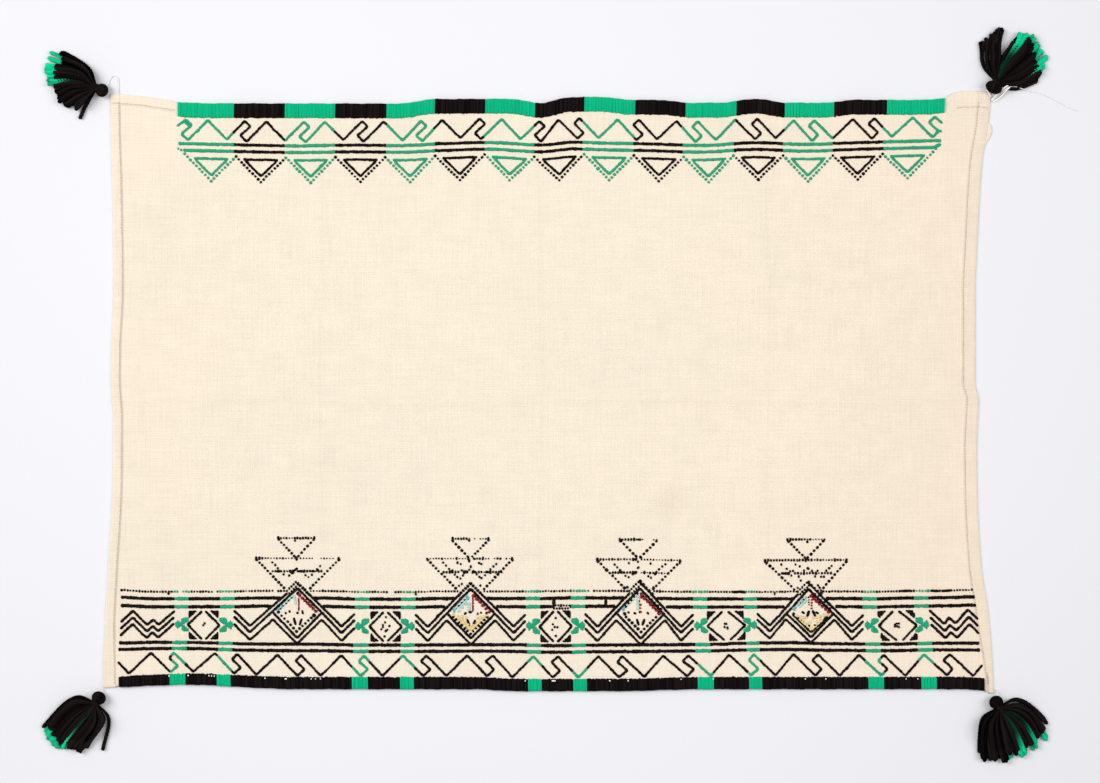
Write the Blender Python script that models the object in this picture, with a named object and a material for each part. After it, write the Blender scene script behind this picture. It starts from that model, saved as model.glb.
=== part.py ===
"""Embroidered woven manta: a hemmed cotton panel, yarn-wrapped along two edges, with a tassel at each corner.

It lies face up on a flat surface. +X runs along its long side, +Y across it towards the upper edge, +Z is up.
The origin is the middle of the panel on its underside. Sizes below are in millimetres and become metres in
the mesh.
"""

import math
from typing import NamedTuple

import bmesh
import bpy
import numpy as np

MM = 0.001
CLEAR = 0.3

# Cloth
CLOTH_THICK = 1.4
HEM_THICK = 2.8
HEM_STEP = 0.8
HEM_LEFT = 12.4
HEM_LEFT_FOOT = 16.6
HEM_RIGHT = 16.4
HEM_RIGHT_FOOT = 9.4
HEM_TOP = 12.7
HEM_FOOT_FROM = 0.86

# The grid that the cloth is built on
SIDE_COLUMNS = 3
FIRST_COLUMN = -530.0
COLUMN_PITCH = 27.0
COLUMN_FROM_CREASE = 11.0
COLUMN_FROM_BINDING = 14.0
LAST_COLUMN_SPARE = 8.0
ROW_PITCH = 46.0
OUTERMOST_ROW = 305.0

# Soft ridges where it was folded away, and the rise of the cloth on to its wrapped edges
STORAGE_CREASES_X = (-290.8, -11.4, 276.9)
STORAGE_CREASE_Y = -10.0
CREASE_HALF_WIDTH = 6.0
CREASE_HEIGHT = 0.9
RISE_LENGTH = 34.0
PAST_BINDING = 1.0
BOUND_STEP = 1.2
BOUND_FADE = 13.0
BOUND_CORNER = 14.5
PULLED_IN_FROM = 0.6

# Edge lines of the laid cloth, read along the edge: place along it, then the line's X or Y there
LEFT_EDGE = (
    # y, x
    (378.0, -556.9),
    (335.0, -556.2),
    (246.0, -553.7),
    (132.0, -552.4),
    (62.0, -555.6),
    (20.0, -556.3),
    (-30.0, -553.3),
    (-109.0, -553.7),
    (-210.0, -559.0),
    (-312.0, -564.5),
    (-373.0, -566.4),
)
RIGHT_EDGE = (
    # y, x
    (382.0, 560.7),
    (352.0, 559.3),
    (343.0, 560.0),
    (336.0, 562.4),
    (325.0, 557.6),
    (297.0, 550.0),
    (258.0, 547.0),
    (190.0, 543.5),
    (132.0, 541.0),
    (13.0, 541.0),
    (-5.0, 545.4),
    (-71.0, 542.9),
    (-124.0, 543.6),
    (-216.0, 548.6),
    (-277.0, 557.5),
    (-338.0, 562.6),
    (-380.0, 564.5),
)
TOP_EDGE = (
    # x, y
    (-558.0, 381.0),
    (-512.0, 377.2),
    (-471.0, 368.6),
    (-330.0, 369.0),
    (-190.0, 368.8),
    (-145.0, 374.6),
    (-50.0, 374.8),
    (-12.0, 369.6),
    (27.0, 376.8),
    (64.0, 377.2),
    (103.0, 373.6),
    (141.0, 373.4),
    (179.0, 369.6),
    (217.0, 369.8),
    (262.0, 374.8),
    (300.0, 370.0),
    (350.0, 369.8),
    (388.0, 373.6),
    (465.0, 373.4),
    (502.0, 376.2),
    (513.0, 384.6),
    (548.0, 384.8),
    (561.0, 382.0),
)
BOTTOM_EDGE = (
    # x, y
    (-566.0, -373.5),
    (-549.0, -372.8),
    (-515.0, -370.9),
    (-455.0, -369.2),
    (-390.0, -372.2),
    (-321.0, -374.8),
    (-92.0, -375.0),
    (-40.0, -377.4),
    (100.0, -377.2),
    (145.0, -375.9),
    (190.0, -375.0),
    (515.0, -374.8),
    (551.0, -376.6),
    (557.0, -380.2),
    (565.0, -380.4),
)

# Yarn bindings wrapped over the edges
YARN_THICK = 1.8
LIP_ROUND = 0.8
FOLD_ROUND = 1.3
CLOSEST_SECTIONS = 3.0
UPPER_DEPTH = 19.6
LOWER_DEPTH_LEFT = 14.8
LOWER_DEPTH_RIGHT = 16.6
LOWER_DEPTH_GROWS_OVER = 260.0
UPPER_START = -471.2
UPPER_RUNS = (
    # length of each run, green first, then black, and so on in turn
    71.8, 64.1, 64.1, 64.8, 61.6, 63.5, 63.5, 62.2, 64.8, 63.5, 64.8, 61.0, 62.9, 66.7, 73.7,
)
LOWER_START = -546.0
LOWER_RUNS = (
    # length of each run, black first, then green, and so on in turn
    64.7, 20.3, 39.4, 17.8, 153.4, 20.7, 40.5, 17.7, 144.6, 17.5, 39.8, 17.5, 140.3, 20.7, 44.5,
    16.7, 134.5, 20.1, 46.9, 19.8, 60.8,
)
EDGE_WAVE_LIFT = 1.4
EDGE_WAVE_LENGTH = 152.0
EDGE_WAVE_UNEVEN = 97.0
EDGE_WAVE_FADE = 60.0

# Tassels
HEAD_ACROSS = 9.0
HEAD_ALONG = 7.6
HEAD_HIGH = 7.2
HEAD_MIDDLE = 6.6
LUMP_SEGMENTS = 14
LUMP_RINGS = 8
NECK_OUT = 7.4
NECK_RADIUS = 5.4
NECK_HIGH = 4.9
NECK_LOW = 2.8
NECK_TOP = 11.0
SKIRT_INNER = 2.0
SKIRT_MIDDLE = 8.0
SKIRT_RIM = 18.0
FAN_ROWS = 4
CORE_ROWS = 2
ROW_HIGH = 3.4
STRAND_HIGH = 3.0
STRAND_WIDE = 4.4
STRAND_NARROWEST = 1.6
STACKED_STATIONS = (0.07, 0.36, 0.62)
SETTLED_STATION = 0.85
CORE_REACH = 1.17
CORE_UNEVEN = 0.1
OUTER_UNEVEN = 0.12
UNEVEN_BY_COLUMN = 2.4
UNEVEN_BY_ROW = 1.9
STIFFNESS = 0.85
TASSELS = (
    {
        "name": "north_west", "head": (-566.4, 384.8), "neck_azimuth": 157, "starts": (94, 240),
        "tips": (136, 232), "headings": (150, 237), "reaches": (70, 62, 45), "columns": 9, "core": (1, 4),
        "strays": 1, "part_at": 0.917, "part_wide": 14,
    },
    {
        "name": "north_east", "head": (563.6, 388.6), "neck_azimuth": 53, "starts": (116, -8),
        "tips": (106, 3), "headings": (106, 3), "reaches": (60, 74, 58), "columns": 10, "core": (4, 8),
        "part_at": 0.325, "part_wide": -11,
    },
    {
        "name": "south_west", "head": (-571.2, -385.2), "neck_azimuth": 238, "starts": (172, 308),
        "tips": (207, 276), "headings": (222, 264), "reaches": (80, 76, 66), "columns": 8, "core": (1, 4),
        "strays": 1, "part_at": 0.906, "part_wide": 14,
    },
    {
        "name": "south_east", "head": (566.5, -390.5), "neck_azimuth": 300, "starts": (212, 376),
        "tips": (255, 338), "headings": (270, 303), "reaches": (72, 74, 71), "columns": 9, "core": (3, 7),
    },
)

# White sewing thread
THREAD_THICK = 1.1
THREAD_STEP = 2.5 * THREAD_THICK
THREAD_FEWEST_POINTS = 5
LOOSE_THREAD = (
    # x, y, z
    (562.2, 371.6, 0.8),
    (570.0, 378.2, 0.7),
    (576.4, 383.8, 0.6),
    (582.6, 387.2, 0.6),
    (590.6, 387.6, 0.6),
    (600.2, 386.0, 0.6),
    (610.0, 384.4, 0.6),
    (622.0, 382.4, 0.6),
    (634.0, 377.6, 0.6),
    (647.0, 370.8, 0.6),
    (660.0, 364.0, 0.6),
    (671.0, 360.0, 0.6),
)
SHORT_THREADS = (
    # name, then x, y, z of each point
    ("north_west", ((-560.1, 392.6, 2.2), (-557.4, 399.0, 0.7), (-552.0, 404.6, 0.6), (-547.4, 402.0, 0.6),
                    (-546.0, 391.0, 0.6), (-545.8, 380.7, 0.8))),
    ("south_west", ((-566.3, -374.4, 0.9), (-567.2, -375.8, 2.4), (-567.9, -377.2, 4.8))),
    ("south_east", ((565.2, -374.5, 0.7), (568.4, -376.5, 0.9), (569.4, -379.8, 2.5), (568.3, -381.6, 5.2))),
)

CREAM = (0.83, 0.74, 0.56)
BLACK = (0.012, 0.011, 0.013)
GREEN = (0.01, 0.47, 0.25)
WHITE = (0.86, 0.85, 0.82)


def clear_scene():
    for thing in list(bpy.data.objects):
        bpy.data.objects.remove(thing, do_unlink=True)


def finish_of(name, colour, roughness):
    """A material with one Principled shader."""
    material = bpy.data.materials.new(name)
    material.use_nodes = True
    shader = material.node_tree.nodes["Principled BSDF"]
    shader.inputs["Base Color"].default_value = (*colour, 1.0)
    shader.inputs["Roughness"].default_value = roughness
    shader.inputs["Metallic"].default_value = 0.0
    return material


def add_object(name, data, whole, place=(0.0, 0.0)):
    """A named object at a place in plan, in millimetres, under the empty that stands for the whole manta."""
    made = bpy.data.objects.new(name, data)
    made.location = (place[0] * MM, place[1] * MM, 0.0)
    made.parent = whole
    bpy.context.scene.collection.objects.link(made)
    return made


def mesh_from(name, builder, material):
    """A mesh written from a bmesh in millimetres, its faces turned outwards."""
    bmesh.ops.recalc_face_normals(builder, faces=builder.faces)
    bmesh.ops.scale(builder, vec=(MM, MM, MM), verts=builder.verts)
    mesh = bpy.data.meshes.new(name)
    builder.to_mesh(mesh)
    builder.free()
    mesh.materials.append(material)
    return mesh


def ease(value):
    """0 below 0, 1 above 1, with a smooth step between."""
    kept = min(max(value, 0.0), 1.0)
    return kept * kept * (3.0 - 2.0 * kept)


def between(pair, share):
    """The value at a share of the way from the first of a pair to the second."""
    return pair[0] + (pair[1] - pair[0]) * share


def smooth_line(rows):
    """A smooth curve through table rows (place, value): a cubic with slopes that never overshoot."""
    place = np.array([row[0] for row in rows], float)
    value = np.array([row[1] for row in rows], float)
    order = np.argsort(place)
    place, value = place[order], value[order]
    run = np.diff(place)
    rise = np.diff(value) / run
    slope = np.zeros(len(place))
    same_way = rise[:-1] * rise[1:] > 0
    both = np.where(same_way, rise[:-1] * rise[1:], 0.0)
    total = np.where(same_way, rise[:-1] + rise[1:], 1.0)
    slope[1:-1] = 2.0 * both / total
    slope[0], slope[-1] = rise[0], rise[-1]

    def at(where):
        where = min(max(where, place[0]), place[-1])
        k = int(min(np.searchsorted(place, where, side="right") - 1, len(run) - 1))
        t = (where - place[k]) / run[k]
        first = (1.0 + 2.0 * t) * (1.0 - t) ** 2 * value[k] + t * (1.0 - t) ** 2 * run[k] * slope[k]
        second = t * t * (3.0 - 2.0 * t) * value[k + 1] + t * t * (t - 1.0) * run[k] * slope[k + 1]
        return float(first + second)

    return at


left_edge = smooth_line(LEFT_EDGE)
right_edge = smooth_line(RIGHT_EDGE)
top_line = smooth_line(TOP_EDGE)
bottom_line = smooth_line(BOTTOM_EDGE)
UPPER_END = UPPER_START + sum(UPPER_RUNS)
LOWER_END = LOWER_START + sum(LOWER_RUNS)
BAND_GAP = YARN_THICK + CLEAR


def bound_share(x, start, end):
    """1 where the edge is wrapped, falling to 0 just outside the wrapped stretch."""
    outside = max(start - x, x - end, 0.0)
    return 1.0 - ease((outside - BOUND_STEP) / BOUND_FADE)


def hem_widths(y):
    """Width of the left and right hem at Y."""
    down = (top_line(0.0) - y) / (top_line(0.0) - bottom_line(0.0))
    low = ease((down - HEM_FOOT_FROM) / (1.0 - HEM_FOOT_FROM))
    return between((HEM_LEFT, HEM_LEFT_FOOT), low), between((HEM_RIGHT, HEM_RIGHT_FOOT), low)


def inner_columns():
    """X of the columns of the grid between the side hems."""
    marks = [FIRST_COLUMN, UPPER_START - BOUND_CORNER, UPPER_START - BOUND_STEP, UPPER_END + BOUND_STEP]
    for crease in STORAGE_CREASES_X:
        marks += [crease - CREASE_HALF_WIDTH, crease, crease + CREASE_HALF_WIDTH]
    x = UPPER_START + COLUMN_FROM_BINDING
    while x < UPPER_END - LAST_COLUMN_SPARE:
        if min(abs(x - crease) for crease in STORAGE_CREASES_X) > COLUMN_FROM_CREASE:
            marks.append(x)
        x += COLUMN_PITCH
    return sorted(marks)


def inner_rows():
    """Y of the rows of the grid between the two worked edges."""
    marks = [STORAGE_CREASE_Y + step * CREASE_HALF_WIDTH for step in (-1, 0, 1)]
    for way in (-1, 1):
        y = STORAGE_CREASE_Y + way * ROW_PITCH
        while abs(y) < OUTERMOST_ROW:
            marks.append(y)
            y += way * ROW_PITCH
    return sorted(marks, reverse=True)


INNER_COLUMNS = inner_columns()
INNER_ROWS = inner_rows()
COLUMN_COUNT = len(INNER_COLUMNS) + 2 * SIDE_COLUMNS


def column_place(number, y):
    """X of a column of the grid at Y: the edge, each side of the hem's stitching, then the inner columns."""
    left, right = hem_widths(y)
    if number < SIDE_COLUMNS:
        return left_edge(y) + (0.0, left - HEM_STEP, left + HEM_STEP)[number]
    if number >= COLUMN_COUNT - SIDE_COLUMNS:
        return right_edge(y) - (0.0, right - HEM_STEP, right + HEM_STEP)[COLUMN_COUNT - 1 - number]
    return INNER_COLUMNS[number - SIDE_COLUMNS]


FOOT_HEM_LINES = (
    column_place(SIDE_COLUMNS - 1, bottom_line(FIRST_COLUMN)),
    column_place(COLUMN_COUNT - SIDE_COLUMNS, bottom_line(-FIRST_COLUMN)),
)
COLUMN_PLACES = np.array([FOOT_HEM_LINES[0], *INNER_COLUMNS, FOOT_HEM_LINES[1]])


def on_columns(line, x):
    """A line's value at X, straight between the columns of the grid, so that cloth and binding agree."""
    knots = [line(place) for place in COLUMN_PLACES]
    return float(np.interp(x, COLUMN_PLACES, knots))


def edge_lift(x):
    """Height by which the upper edge waves off the surface."""
    wave = 0.5 - 0.5 * math.cos(2.0 * math.pi * (x - UPPER_START) / EDGE_WAVE_LENGTH)
    uneven = 0.5 + 0.5 * math.sin(x / EDGE_WAVE_UNEVEN)
    ends = ease((x - UPPER_START) / EDGE_WAVE_FADE) * ease((UPPER_END - x) / EDGE_WAVE_FADE)
    return EDGE_WAVE_LIFT * wave * uneven * ends


def crease_height(x, y):
    """The soft ridges where the cloth was folded away."""
    distance = min(abs(x - crease) for crease in STORAGE_CREASES_X)
    distance = min(distance, abs(y - STORAGE_CREASE_Y))
    return CREASE_HEIGHT * max(1.0 - distance / CREASE_HALF_WIDTH, 0.0)


def row_places(x):
    """Y of every row of the grid at X, from the upper edge down. The edges are pulled in under the wraps."""
    upper = bound_share(x, UPPER_START, UPPER_END)
    lower = bound_share(x, LOWER_START, LOWER_END)
    top = on_columns(top_line, x) if INNER_COLUMNS[0] <= x <= INNER_COLUMNS[-1] else top_line(x)
    foot = on_columns(bottom_line, x) if FOOT_HEM_LINES[0] <= x <= FOOT_HEM_LINES[1] else bottom_line(x)
    top -= BAND_GAP * ease((upper - PULLED_IN_FROM) / (1.0 - PULLED_IN_FROM))
    foot += BAND_GAP * ease((lower - PULLED_IN_FROM) / (1.0 - PULLED_IN_FROM))
    hem = (0.0, HEM_TOP - HEM_STEP, HEM_TOP + HEM_STEP)
    from_top = (*hem, UPPER_DEPTH + PAST_BINDING, UPPER_DEPTH + RISE_LENGTH)
    from_foot = (LOWER_DEPTH_RIGHT + RISE_LENGTH, LOWER_DEPTH_RIGHT + PAST_BINDING, 0.0)
    return [top - step for step in from_top] + INNER_ROWS + [foot + step for step in from_foot]


def underside(x, y, top, foot):
    """Height of the cloth's underside: it climbs on to the wraps along both edges, and over its creases."""
    upper = bound_share(x, UPPER_START, UPPER_END)
    lower = bound_share(x, LOWER_START, LOWER_END)
    past_upper = top - y - UPPER_DEPTH - PAST_BINDING
    past_lower = y - foot - LOWER_DEPTH_RIGHT - PAST_BINDING
    near_top = 1.0 - ease(past_upper / (RISE_LENGTH - PAST_BINDING))
    near_foot = 1.0 - ease(past_lower / (RISE_LENGTH - PAST_BINDING))
    raised = BAND_GAP * max(upper * near_top, lower * near_foot)
    waved = on_columns(edge_lift, x) * (1.0 - ease(past_upper)) * upper
    return raised + waved + crease_height(x, y) * (1.0 - max(near_top, near_foot))


def thickness_at(x, column, row, row_count):
    """Thickness of the cloth at a point of the grid: doubled in its hems, single inside the wraps."""
    upper = bound_share(x, UPPER_START, UPPER_END) > 0.5
    lower = bound_share(x, LOWER_START, LOWER_END) > 0.5
    in_side_hem = min(column, COLUMN_COUNT - 1 - column) < SIDE_COLUMNS - 1
    in_top_hem = row < 2 and not upper
    in_wraps = (row <= 3 and upper) or (row >= row_count - 2 and lower)
    return HEM_THICK if (in_side_hem or in_top_hem) and not in_wraps else CLOTH_THICK


def build_cloth(whole, material):
    """The panel: a grid for its underside, extruded upwards by the local thickness."""
    builder = bmesh.new()
    thickness = builder.verts.layers.float.new("thickness")
    row_count = len(row_places(0.0))
    grid = []
    for j in range(COLUMN_COUNT):
        column = []
        for i in range(row_count):
            x = column_place(j, row_places(column_place(j, 0.0))[i])
            places = row_places(x)
            vertex = builder.verts.new((x, places[i], underside(x, places[i], places[0], places[-1])))
            vertex[thickness] = thickness_at(x, j, i, row_count)
            column.append(vertex)
        grid.append(column)
    for left, right in zip(grid, grid[1:]):
        for i in range(row_count - 1):
            builder.faces.new((left[i], right[i], right[i + 1], left[i + 1]))
    raised = bmesh.ops.extrude_face_region(builder, geom=builder.faces[:], use_keep_orig=True)
    for item in raised["geom"]:
        if isinstance(item, bmesh.types.BMVert):
            item.co.z += item[thickness]
    add_object("cloth_panel", mesh_from("cloth_panel", builder, material), whole)


def band_section(depth):
    """The C-shaped section of a wrapped edge: distance in from the outer edge, and height."""
    slot_low = YARN_THICK
    slot_high = YARN_THICK + CLEAR + CLOTH_THICK + CLEAR
    high = slot_high + YARN_THICK
    half = 0.5 * YARN_THICK
    return (
        (LIP_ROUND, 0.0),
        (depth - LIP_ROUND, 0.0),
        (depth, half),
        (depth - 0.5 * LIP_ROUND, slot_low),
        (YARN_THICK, slot_low),
        (YARN_THICK, slot_high),
        (depth - 0.5 * LIP_ROUND, slot_high),
        (depth, high - half),
        (depth - LIP_ROUND, high),
        (LIP_ROUND, high),
        (0.0, high - FOLD_ROUND),
        (0.0, FOLD_ROUND),
    )


def build_run(name, start, end, line, inward, depth_at, lift_at):
    """One colour's run of wraps: the section carried along the edge from start to end."""
    inside = [x for x in COLUMN_PLACES if start + CLOSEST_SECTIONS < x < end - CLOSEST_SECTIONS]
    builder = bmesh.new()
    rings = []
    for x in [start, *inside, end]:
        edge = on_columns(line, x)
        lift = on_columns(lift_at, x)
        section = band_section(depth_at(x))
        rings.append([builder.verts.new((x, edge + inward * depth, lift + z)) for depth, z in section])
    for first, second in zip(rings, rings[1:]):
        for k in range(len(first)):
            after = (k + 1) % len(first)
            builder.faces.new((first[k], first[after], second[after], second[k]))
    builder.faces.new(rings[0])
    builder.faces.new(rings[-1])
    return builder


def upper_depth(_):
    """How far in the upper wraps reach, the same all along."""
    return UPPER_DEPTH


def lower_depth(x):
    """How far in the lower wraps reach: a little deeper from left to right."""
    return between((LOWER_DEPTH_LEFT, LOWER_DEPTH_RIGHT), ease((x - LOWER_START) / LOWER_DEPTH_GROWS_OVER))


def lower_lift(_):
    """The lower edge lies flat."""
    return 0.0


def build_bindings(whole, green, black):
    """Both wrapped edges, a node for each run of one colour."""
    edges = (
        # name, first run's start, lengths, colours in turn, line, way in, depth, lift
        ("upper", UPPER_START, UPPER_RUNS, (green, black), top_line, -1.0, upper_depth, edge_lift),
        ("lower", LOWER_START, LOWER_RUNS, (black, green), bottom_line, 1.0, lower_depth, lower_lift),
    )
    for edge, start, lengths, colours, line, inward, depth_at, lift_at in edges:
        for number, length in enumerate(lengths):
            name = f"{edge}_binding_{number + 1:02d}"
            end = start + length
            builder = build_run(name, start + CLEAR / 2, end - CLEAR / 2, line, inward, depth_at, lift_at)
            add_object(name, mesh_from(name, builder, colours[number % 2]), whole)
            start = end


def pointing(azimuth):
    """Unit vector in plan at an azimuth in degrees."""
    turn = math.radians(azimuth)
    return np.array([math.cos(turn), math.sin(turn)])


class Fan(NamedTuple):
    """The plan of one tassel, seen from its head: where a strand at a share across the fan runs.

    Starts, tips and headings are in degrees, for the first and the last strand, and reaches in millimetres,
    for the first, middle and last strand. The core is a range of columns. Strays are last columns of one strand.
    Past the parting place, a share across the fan, it opens by the parting width in degrees.
    """

    name: str
    head: tuple
    neck_azimuth: float
    starts: tuple
    tips: tuple
    headings: tuple
    reaches: tuple
    columns: int
    core: tuple
    strays: int = 0
    part_at: float = 0.0
    part_wide: float = 0.0

    @property
    def neck(self):
        """The middle of the neck in plan."""
        return NECK_OUT * pointing(self.neck_azimuth)

    def skirt_point(self, share, radius, turn=0.0):
        """A point of the skirt, by its radius from the neck."""
        return self.neck + radius * pointing(between(self.starts, share) + turn)

    def tip_point(self, share):
        """Where a strand ends. Past the parting place the fan is opened by the parting width."""
        parted = self.part_wide if self.part_at and share > self.part_at else 0.0
        azimuth = between((self.tips[0], self.tips[1] - self.part_wide), share) + parted
        return float(np.interp(share, (0.0, 0.5, 1.0), self.reaches)) * pointing(azimuth)

    def place(self, share, t):
        """The point at t along the strand, a cubic from the rim to the tip and straight on past it."""
        rim, tip = self.skirt_point(share, SKIRT_RIM), self.tip_point(share)
        pull = STIFFNESS * np.linalg.norm(tip - rim)
        first = pull * pointing(between(self.starts, share))
        last = pull * pointing(between(self.headings, share))
        if t > 1.0:
            return tip + (t - 1.0) * last / STIFFNESS
        return (
            (1 + 2 * t) * (1 - t) ** 2 * rim
            + t * (1 - t) ** 2 * first
            + t * t * (3 - 2 * t) * tip
            + t * t * (t - 1) * last
        )

    def in_core(self, column, row):
        """Whether a strand is one of the green ones."""
        return self.core[0] <= column < self.core[1] and row < CORE_ROWS

    def rows_of(self, column):
        """Rows of strands in a column: a stray one stands alone."""
        return 1 if column >= self.columns - self.strays else FAN_ROWS

    def heading(self, share, t):
        """Unit vector along the strand at t."""
        ahead = self.place(share, t + 0.01) - self.place(share, t - 0.01)
        return ahead / np.linalg.norm(ahead)

    def room(self, share, t):
        """Clear width at t between strands that lie at the same height: half columns once they settle."""
        step = (0.5 if t >= STACKED_STATIONS[-1] else 1.0) / self.columns
        ahead = self.heading(share, t)
        aside = [self.place(share + way * step, t) - self.place(share, t) for way in (-1, 1)]
        return min(abs(ahead[0] * gap[1] - ahead[1] * gap[0]) for gap in aside) - CLEAR


def strand_height(row, t):
    """Height of a strand's middle: the rows are stacked at first, and then settle in two layers.

    They can, because every second row has moved between its neighbours by the last stacked station.
    """
    stacked = (row + 0.5) * ROW_HIGH if row else 0.5 * STRAND_HIGH
    settled = 0.5 * STRAND_HIGH if row < 2 else 1.5 * STRAND_HIGH + CLEAR
    return stacked if t <= STACKED_STATIONS[-1] else settled


def strand_length(fan, column, row):
    """How far along the fan's curve a strand goes: black ones are uneven, green ones longer."""
    uneven = 0.5 + 0.5 * math.sin(UNEVEN_BY_COLUMN * column + UNEVEN_BY_ROW * row + fan.head[0])
    if fan.in_core(column, row):
        return CORE_REACH - CORE_UNEVEN * uneven
    return 1.0 - OUTER_UNEVEN * uneven


def grow_strand(builder, face, fan, column, row):
    """Extrudes one face of the rim along its strand's curve. Each corner keeps its side and its level."""
    share = (column + 0.5) / fan.columns
    middle = np.array(face.calc_center_median())
    side = pointing(between(fan.starts, share) + 90.0)
    offsets = [np.array(vertex.co) - middle for vertex in face.verts]
    signs = [(math.copysign(1.0, offset[:2] @ side), math.copysign(1.0, offset[2])) for offset in offsets]
    stations = (*STACKED_STATIONS, SETTLED_STATION, strand_length(fan, column, row))
    for t in stations:
        aside = row % 2 * ease((t - STACKED_STATIONS[0]) / (STACKED_STATIONS[-1] - STACKED_STATIONS[0]))
        shifted = share + 0.5 * aside / fan.columns
        here = fan.place(shifted, t)
        ahead = fan.heading(shifted, t)
        across = np.array([-ahead[1], ahead[0]])
        half = 0.5 * min(STRAND_WIDE, max(fan.room(shifted, t), STRAND_NARROWEST))
        z = strand_height(row, t)
        made = bmesh.ops.extrude_discrete_faces(builder, faces=[face])
        face = made["faces"][0]
        for vertex, (lateral, upward) in zip(face.verts, signs):
            plan = here + across * half * lateral
            vertex.co = (plan[0], plan[1], z + 0.5 * STRAND_HIGH * upward)


def skirt_height(radius, level):
    """Height of a level of the skirt: full rows at the rim, drawn together at the neck."""
    share = ease((radius - SKIRT_INNER) / (SKIRT_RIM - SKIRT_INNER))
    low = NECK_LOW * (1.0 - share)
    high = NECK_TOP + (FAN_ROWS * ROW_HIGH - NECK_TOP) * share
    return low + (high - low) * level / FAN_ROWS


def build_block(fan, radii, cells, trim):
    """Closed skin round the cells (ring, column, row) of a fan-shaped block, and its rim's faces.

    The faces are given by column and row. The trim is taken off the block's two sides and its top, to keep it
    clear of the block that it sits in.
    """
    builder = bmesh.new()
    made = {}
    first = min(column for _, column, _ in cells)
    last = max(column for _, column, _ in cells) + 1
    top = max(row for _, _, row in cells) + 1
    way = math.copysign(1.0, fan.starts[1] - fan.starts[0])

    def corner(ring, column, level):
        key = (ring, column, level)
        if key not in made:
            radius = radii[ring]
            inwards = way * ((column == first) - (column == last))
            plan = fan.skirt_point(column / fan.columns, radius, inwards * math.degrees(trim / radius))
            z = skirt_height(radius, level) - trim * (level == top)
            made[key] = builder.verts.new((plan[0], plan[1], z))
        return made[key]

    rim = {}
    present = set(cells)
    for ring, column, row in cells:
        a, b, c = ring, column, row
        sides = (
            ((a - 1, b, c), ((a, b, c), (a, b + 1, c), (a, b + 1, c + 1), (a, b, c + 1))),
            ((a + 1, b, c), ((a + 1, b, c), (a + 1, b + 1, c), (a + 1, b + 1, c + 1), (a + 1, b, c + 1))),
            ((a, b - 1, c), ((a, b, c), (a + 1, b, c), (a + 1, b, c + 1), (a, b, c + 1))),
            ((a, b + 1, c), ((a, b + 1, c), (a + 1, b + 1, c), (a + 1, b + 1, c + 1), (a, b + 1, c + 1))),
            ((a, b, c - 1), ((a, b, c), (a + 1, b, c), (a + 1, b + 1, c), (a, b + 1, c))),
            ((a, b, c + 1), ((a, b, c + 1), (a + 1, b, c + 1), (a + 1, b + 1, c + 1), (a, b + 1, c + 1))),
        )
        for neighbour, corners in sides:
            if neighbour in present:
                continue
            face = builder.faces.new([corner(*key) for key in corners])
            if neighbour[0] == len(radii) - 1:
                rim[(column, row)] = face
    return builder, rim


def build_strands(fan, radii, cells, trim):
    """A fan-shaped block with a strand grown from each face of its rim."""
    builder, rim = build_block(fan, radii, cells, trim)
    bmesh.ops.recalc_face_normals(builder, faces=builder.faces)
    for (column, row), face in rim.items():
        grow_strand(builder, face, fan, column, row)
    return builder


def build_core(fan, whole, material):
    """The green strands on their root, which sits in the notch under the black skirt."""
    radii = (SKIRT_MIDDLE + 2 * CLEAR, SKIRT_RIM)
    cells = [(0, column, row) for column in range(*fan.core) for row in range(CORE_ROWS)]
    name = f"tassel_{fan.name}_green"
    add_object(name, mesh_from(name, build_strands(fan, radii, cells, CLEAR), material), whole, fan.head)


def build_lump(name, fan, whole, material, centre, sizes):
    """A round lump along the neck's azimuth, flat where it meets the surface. It is a guide for a union."""
    builder = bmesh.new()
    bmesh.ops.create_uvsphere(builder, u_segments=LUMP_SEGMENTS, v_segments=LUMP_RINGS, radius=1.0)
    along = pointing(fan.neck_azimuth)
    for vertex in builder.verts:
        a, b, c = (part * size for part, size in zip(vertex.co, sizes))
        x = centre[0] + a * along[0] - b * along[1]
        y = centre[1] + a * along[1] + b * along[0]
        vertex.co = (x, y, max(centre[2] + c, 0.0))
    made = add_object(name, mesh_from(name, builder, material), whole, fan.head)
    made.hide_render = True
    made.display_type = "WIRE"
    return made


def build_outer(fan, whole, material):
    """The black part: head, neck, skirt and its strands, joined into one body."""
    radii = (SKIRT_INNER, SKIRT_MIDDLE, SKIRT_RIM)
    cells = [(ring, column, row) for ring in (0, 1) for column in range(fan.columns)
             for row in range(fan.rows_of(column)) if ring == 0 or not fan.in_core(column, row)]
    name = f"tassel_{fan.name}_black"
    mesh = mesh_from(name, build_strands(fan, radii, cells, 0.0), material)
    body = add_object(name, mesh, whole, fan.head)
    lumps = (
        # name, centre, half sizes
        ("head", (0.0, 0.0, HEAD_MIDDLE), (HEAD_ALONG, HEAD_ACROSS, HEAD_HIGH)),
        ("neck", (*fan.neck, 0.5 * (NECK_LOW + NECK_TOP)), (NECK_RADIUS, NECK_RADIUS, NECK_HIGH)),
    )
    for lump_name, centre, sizes in lumps:
        lump = build_lump(f"{lump_name}_{fan.name}", fan, whole, material, centre, sizes)
        union = body.modifiers.new(lump_name, "BOOLEAN")
        union.operation = "UNION"
        union.solver = "EXACT"
        union.object = lump


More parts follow.
